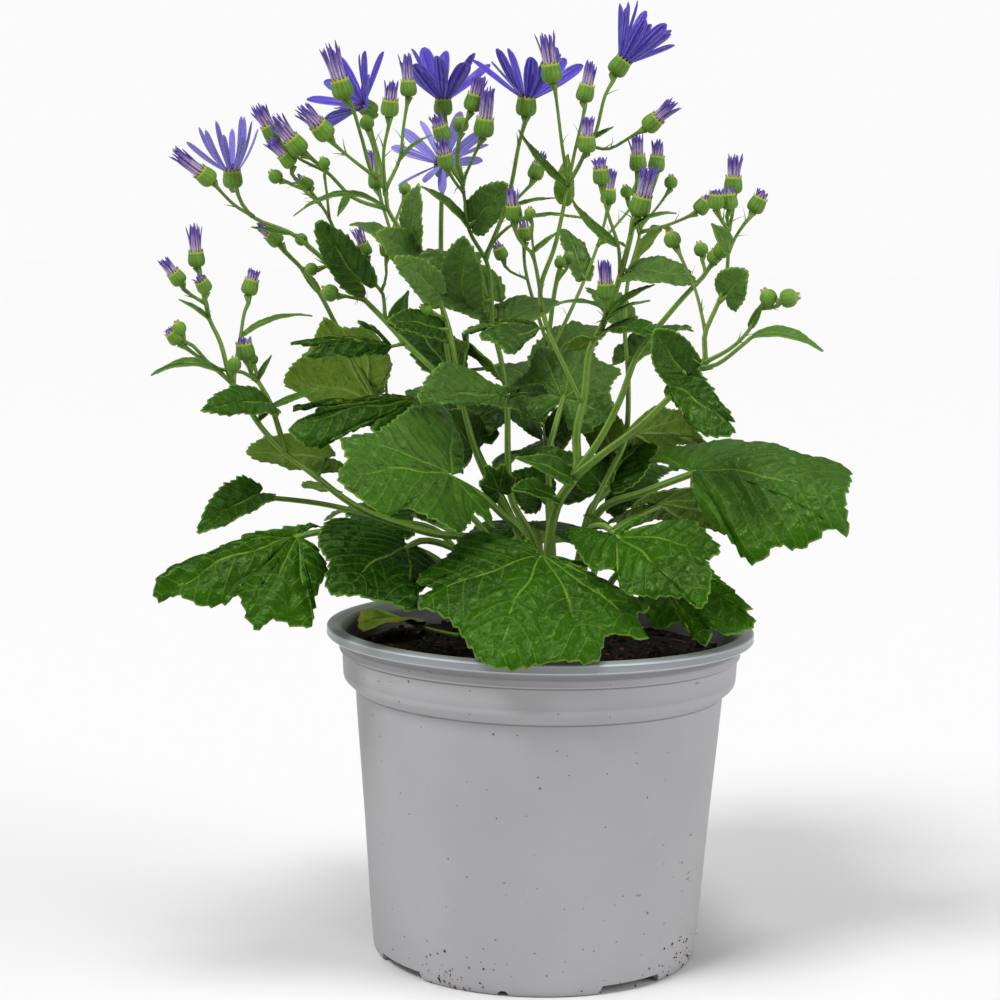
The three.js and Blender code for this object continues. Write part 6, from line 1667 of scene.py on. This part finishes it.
def padPiece():
    place = (0, 0, potForm["padHeight"] / 2 * millimetre)
    pad = addCylinder(potForm["padSides"], potForm["padRadius"], potForm["padHeight"], place)
    applyPlace()
    applyModifier(pad, "BEVEL", width=potForm["padEdge"] * millimetre, segments=3, limit_method="ANGLE")
    return pad


# ---- crumbs of soil
crumbForm = {"subdivisions": 2, "rough": 0.45, "scale": 1.6, "stretch": (0.6, 1.3)}
stuckForm = {
    "count": 110, "seed": 31, "firstSeed": 900, "lowest": 0.8, "range": 17, "lowness": 2.2,
    "sides": [(61, 7), (-30, 4)], "front": (-50, 60), "all": (0, 360), "shares": [0.38, 0.32, 0.15, 0.15],
    "wall": [[0, 1.5, 3.2, 6, 20], [70.6, 72.3, 72.7, 73, 74.2]], "gap": 0.1, "sizes": (0.14, 0.48),
}


def crumbTemplate():
    bpy.ops.mesh.primitive_ico_sphere_add(subdivisions=crumbForm["subdivisions"], radius=millimetre)
    crumb = bpy.context.object
    crumb.name = "crumb"
    for vertex in crumb.data.vertices:
        push = noise.noise(vertex.co / millimetre * crumbForm["scale"]) * crumbForm["rough"]
        vertex.co *= 1 + push
    crumb.data.materials.append(soilBrown)
    return crumb


def copyCrumb(point, size, seed):
    random = np.random.default_rng(seed)
    turn = Matrix.Rotation(random.uniform(0, 6.28), 3, Vector(random.normal(size=3)))
    shape = templatePoints["crumb"] * (size * random.uniform(*crumbForm["stretch"], 3))
    return copyOf(crumb, shape @ np.array(turn) + np.array(point))


# crumbs that stick to the pot, most of them low down at two places
def stuckPlaces():
    random = np.random.default_rng(stuckForm["seed"])
    places = []
    for _ in range(stuckForm["count"]):
        height = stuckForm["lowest"] + stuckForm["range"] * random.random() ** stuckForm["lowness"]
        sides = [random.normal(*side) for side in stuckForm["sides"]]
        sides += [random.uniform(*stuckForm["front"]), random.uniform(*stuckForm["all"])]
        angle = math.radians(random.choice(sides, p=stuckForm["shares"]))
        radius = np.interp(height, *stuckForm["wall"]) + stuckForm["gap"]
        point = (radius * math.sin(angle), -radius * math.cos(angle), height)
        places.append((point, random.uniform(*stuckForm["sizes"])))
    return places


# ---- soil
soilForm = {
    "columns": 120, "profile": [[0, 9.6], [68.6, 9.6], [79.8, 121.2], [84.4, 126.4], [85.0, 133.2]],
    "rings": 34, "edge": 84.4, "height": 134.6, "middle": 136.2, "rough": 1.02, "lumps": 9,
    "layers": [[1, 1], [2.7, 0.6], [6.1, 0.4]], "seed": 12,
    "crumbs": 900, "crumbReach": 83.5, "smallest": 0.35, "growth": 1.5, "crumbRise": 0.25,
    "fibres": 240, "fibreReach": 81, "fibreRise": 0.5, "fibreLengths": (2, 8), "fibreLifts": (-0.15, 0.3),
    "fibreBends": (-0.4, 0.4), "fibreRadii": (0.12, 0.4), "fibreFlatness": 0.6, "fibreRings": 5,
    "fibreSides": 4,
}


def soilHeight(x, y):
    reach = math.hypot(x, y) / soilForm["edge"]
    place = Vector((x, y, 0)) / soilForm["lumps"]
    rough = sum(share * noise.noise(place * scale) for scale, share in soilForm["layers"])
    bed = soilForm["middle"] + (soilForm["height"] - soilForm["middle"]) * reach ** 2
    return bed + rough * soilForm["rough"]


# a place on the soil within a reach of the middle
def soilSpot(random, reach):
    reach, angle = reach * math.sqrt(random.random()), random.uniform(0, 2 * math.pi)
    return reach * math.cos(angle), reach * math.sin(angle)


def buildSoil():
    profile = soilForm["profile"]
    rows = len(profile) + soilForm["rings"]

    def place(across, along):
        row = np.rint(along * (rows - 1)).astype(int)
        angle = 2 * math.pi * across
        points = []
        for index, turn in zip(row, angle):
            if index < len(profile):
                radius, height = profile[index]
            else:
                radius = soilForm["edge"] * (rows - 1 - index) / (soilForm["rings"] - 1)
                height = None
            x, y = radius * math.cos(turn), radius * math.sin(turn)
            points.append((x, y, soilHeight(x, y) if height is None else height))
        return np.array(points)

    bed = gridPiece(soilForm["columns"], rows - 1, place, soilBrown)
    random = np.random.default_rng(soilForm["seed"])
    pieces = [bed]
    for k in range(soilForm["crumbs"]):
        x, y = soilSpot(random, soilForm["crumbReach"])
        size = soilForm["smallest"] + soilForm["growth"] * random.random() ** 3
        pieces.append(copyCrumb((x, y, soilHeight(x, y) + size * soilForm["crumbRise"]), size, k))
    share = np.linspace(-1, 1, soilForm["fibreRings"])[:, None]
    for _ in range(soilForm["fibres"]):
        x, y = soilSpot(random, soilForm["fibreReach"])
        middle = np.array([x, y, soilHeight(x, y) + soilForm["fibreRise"]])
        turn, length = random.uniform(0, 2 * math.pi), random.uniform(*soilForm["fibreLengths"])
        ahead = np.array([math.cos(turn), math.sin(turn), random.uniform(*soilForm["fibreLifts"])])
        ahead = ahead * length / 2
        bend = np.array([-ahead[1], ahead[0], 0]) * random.uniform(*soilForm["fibreBends"])
        route = middle + ahead * share + bend * (1 - share ** 2)
        wide = np.full(len(share), random.uniform(*soilForm["fibreRadii"]))
        side = unit(np.cross(ahead, (0, 0, 1)))
        above = unit(np.cross(ahead, side))
        pieces.append(bentTube(fibre, route, wide, wide * soilForm["fibreFlatness"], side, above))
    soil = joinedPiece("soil_bed", pieces)
    finishPiece(soil, "soil", "soil")


# ---- the plant's pieces
# each leaf's green, by its form: partly its own freshness and partly painted light and shade, such as the
# paler right leaf for its sheen
leafToneAndLight = {
    "lance": 0.62, "oval": 0.5, "front": 0.6, "midleft": 0.5, "right": 1.0, "rightlow": 0.6, "rim": 1.05,
    "farleft": 0.6, "leftdark": 0.26, "mid": 0.5, "dark": 0.25, "saddle": 0.55, "arched": 0.55, "pale": 0.75,
    "droop": 0.3,
}
plainTone = 0.4
toneSpread = (-0.3, 0.16)


def toneOf(leaf, random):
    return leafToneAndLight.get(leaf[0], plainTone) + random.uniform(*toneSpread)


# the first seed of the crown leaves and of the shoots, and the seeds that each shoot's leaves take
seedForm = {"crown": 200, "shoots": 300, "perShoot": 100}


def buildShoot(name, shoot, seed):
    random = np.random.default_rng(seed)
    stems = growStems(shoot)
    pieces = [stemPiece(stem, k > 0) for k, stem in enumerate(stems)]
    for k, leaf in enumerate(shoot["leaves"]):
        pieces += leafPieces(leaf, stems, toneOf(leaf, random), seed * seedForm["perShoot"] + k)
    for stem in stems:
        if stem["taken"]:
            pieces += bractPieces(stem, random)
    for radius, centre, tip in shoot["buds"]:
        pieces.append(standOn(bud, centre, tip, radius, random.uniform(0, 1)))
    for headName, centre, tip, radius in shoot["heads"]:
        pieces.append(standOn(cup, centre, tip, radius, random.uniform(0, 1)))
        if not headName:
            pieces += quillPieces(centre, tip, radius, random, *quillForm["tips"], shortQuill)
    finishPiece(joinedPiece(f"{name}_dressed", pieces), "shoot_green", name)
    for headName, centre, tip, radius in shoot["heads"]:
        if headName:
            buildBloom(headName, centre, tip, radius, random)


def buildBloom(headName, centre, tip, radius, random):
    if headName in rayForm["heads"]:
        slot = "ray_violet"
        pieces = rayPieces(headName, centre, tip, radius, random) + discPieces(centre, tip, radius, random)
    else:
        slot = "quill_violet"
        pieces = quillPieces(centre, tip, radius, random, quillForm["outer"], quillForm["inner"], quill)
    finishPiece(joinedPiece(f"bloom_{headName}_dressed", pieces), slot, f"bloom_{headName}")


# the disc: a low dome of small florets between the rays; all but the widths are shares of the cup's radius
discForm = {
    "florets": 34, "sides": 5, "reach": 0.58, "turn": 2.39996, "foot": 0.72, "height": 0.75, "dome": 0.5,
    "heights": (0.85, 1.15), "radius": 0.085, "widths": [0.8, 0.9, 1.0, 1.25, 0.7],
}


def discPieces(centre, tip, radius, random):
    axis, side, other = headFrame(centre, tip)
    share = np.linspace(0, 1, len(discForm["widths"]))[:, None]
    slim = radius * discForm["radius"] * np.array(discForm["widths"])
    pieces = []
    for k in range(discForm["florets"]):
        reach = discForm["reach"] * math.sqrt((k + 0.5) / discForm["florets"])
        height = (discForm["height"] - discForm["dome"] * reach ** 2) * random.uniform(*discForm["heights"])
        foot = around(side, other, discForm["turn"] * k) * reach + axis * discForm["foot"]
        route = np.array(centre) + (foot + axis * height * share) * radius
        pieces.append(bentTube(discFloret, route, slim, slim, side, other))
    return pieces


# a crown leaf's stalk ends a little under its blade
stalkEnd = {"ahead": 2, "under": 0.3}


def buildCrownLeaf(name, leaf, seed):
    startRadius, endRadius, *points = leaf["stalk"]
    base, ahead, _, face, _ = leafFrame(leaf["blade"])
    end = base + ahead * stalkEnd["ahead"] - face * stalkEnd["under"]
    stalk = stalkPiece([*points[:-1], list(end)], startRadius, endRadius)
    tone = toneOf(leaf["blade"], np.random.default_rng(seed))
    blade = bladePiece(leaf["blade"], tone, seed, (leafTop, leafUnder))
    finishPiece(joinedPiece(name + "_dressed", [blade, stalk]), "leaf_green", name)


oldLeaf = {
    "stalk": [[-36, 10, 139.5], [-50, 24, 139.6], [-62, 36, 141]],
    "blade": ["oval", [-62, 36, 141], [-80, 4, 142.5], 24, 10, 0, 3, 0],
    "radius": 0.8, "tone": 0.5, "seed": 77,
}


def buildOldLeaf():
    stalk = stalkPiece(oldLeaf["stalk"], oldLeaf["radius"], oldLeaf["radius"])
    finishes = oldLeafYellow, oldLeafYellow
    blade = bladePiece(oldLeaf["blade"], oldLeaf["tone"], oldLeaf["seed"], finishes)
    finishPiece(joinedPiece("old_leaf_dressed", [blade, stalk]), "old_leaf", "old_leaf")


crumb = crumbTemplate()
cup = cupTemplate("cup", cupForm["side"])
bud = cupTemplate("bud", cupForm["bud"])
quill = straightTube("quill", quillForm["sides"], quillForm["rings"], quillViolet)
shortQuill = straightTube("shortQuill", quillForm["sides"], quillForm["tipRings"], quillViolet)
fibre = straightTube("fibre", soilForm["fibreSides"], soilForm["fibreRings"], fibreBrown)
thread = straightTube("thread", bractForm["sides"], bractForm["rings"], stemSkin)
discFloret = straightTube("discFloret", discForm["sides"], len(discForm["widths"]), discDark)
rayTemplates = {name: straightTube(name, rayForm["sides"], rayForm["rings"], finish)
                for name, finish in rayFinishes.items()}
templates = [crumb, cup, bud, quill, shortQuill, fibre, thread, discFloret, *rayTemplates.values()]
templatePoints = {template.name: getPoints(template) for template in templates}
print("templates are modelled")

buildPot()
print("pot is modelled")
buildSoil()
print("soil is modelled")
buildOldLeaf()
for seed, (name, leaf) in enumerate(crownLeaves.items(), seedForm["crown"]):
    buildCrownLeaf(name, leaf, seed)
print("crown leaves are modelled")
for seed, (name, shoot) in enumerate(shoots.items(), seedForm["shoots"]):
    buildShoot(name, shoot, seed)
    print(name, "is modelled")

for template in templates:
    bpy.data.objects.remove(template)
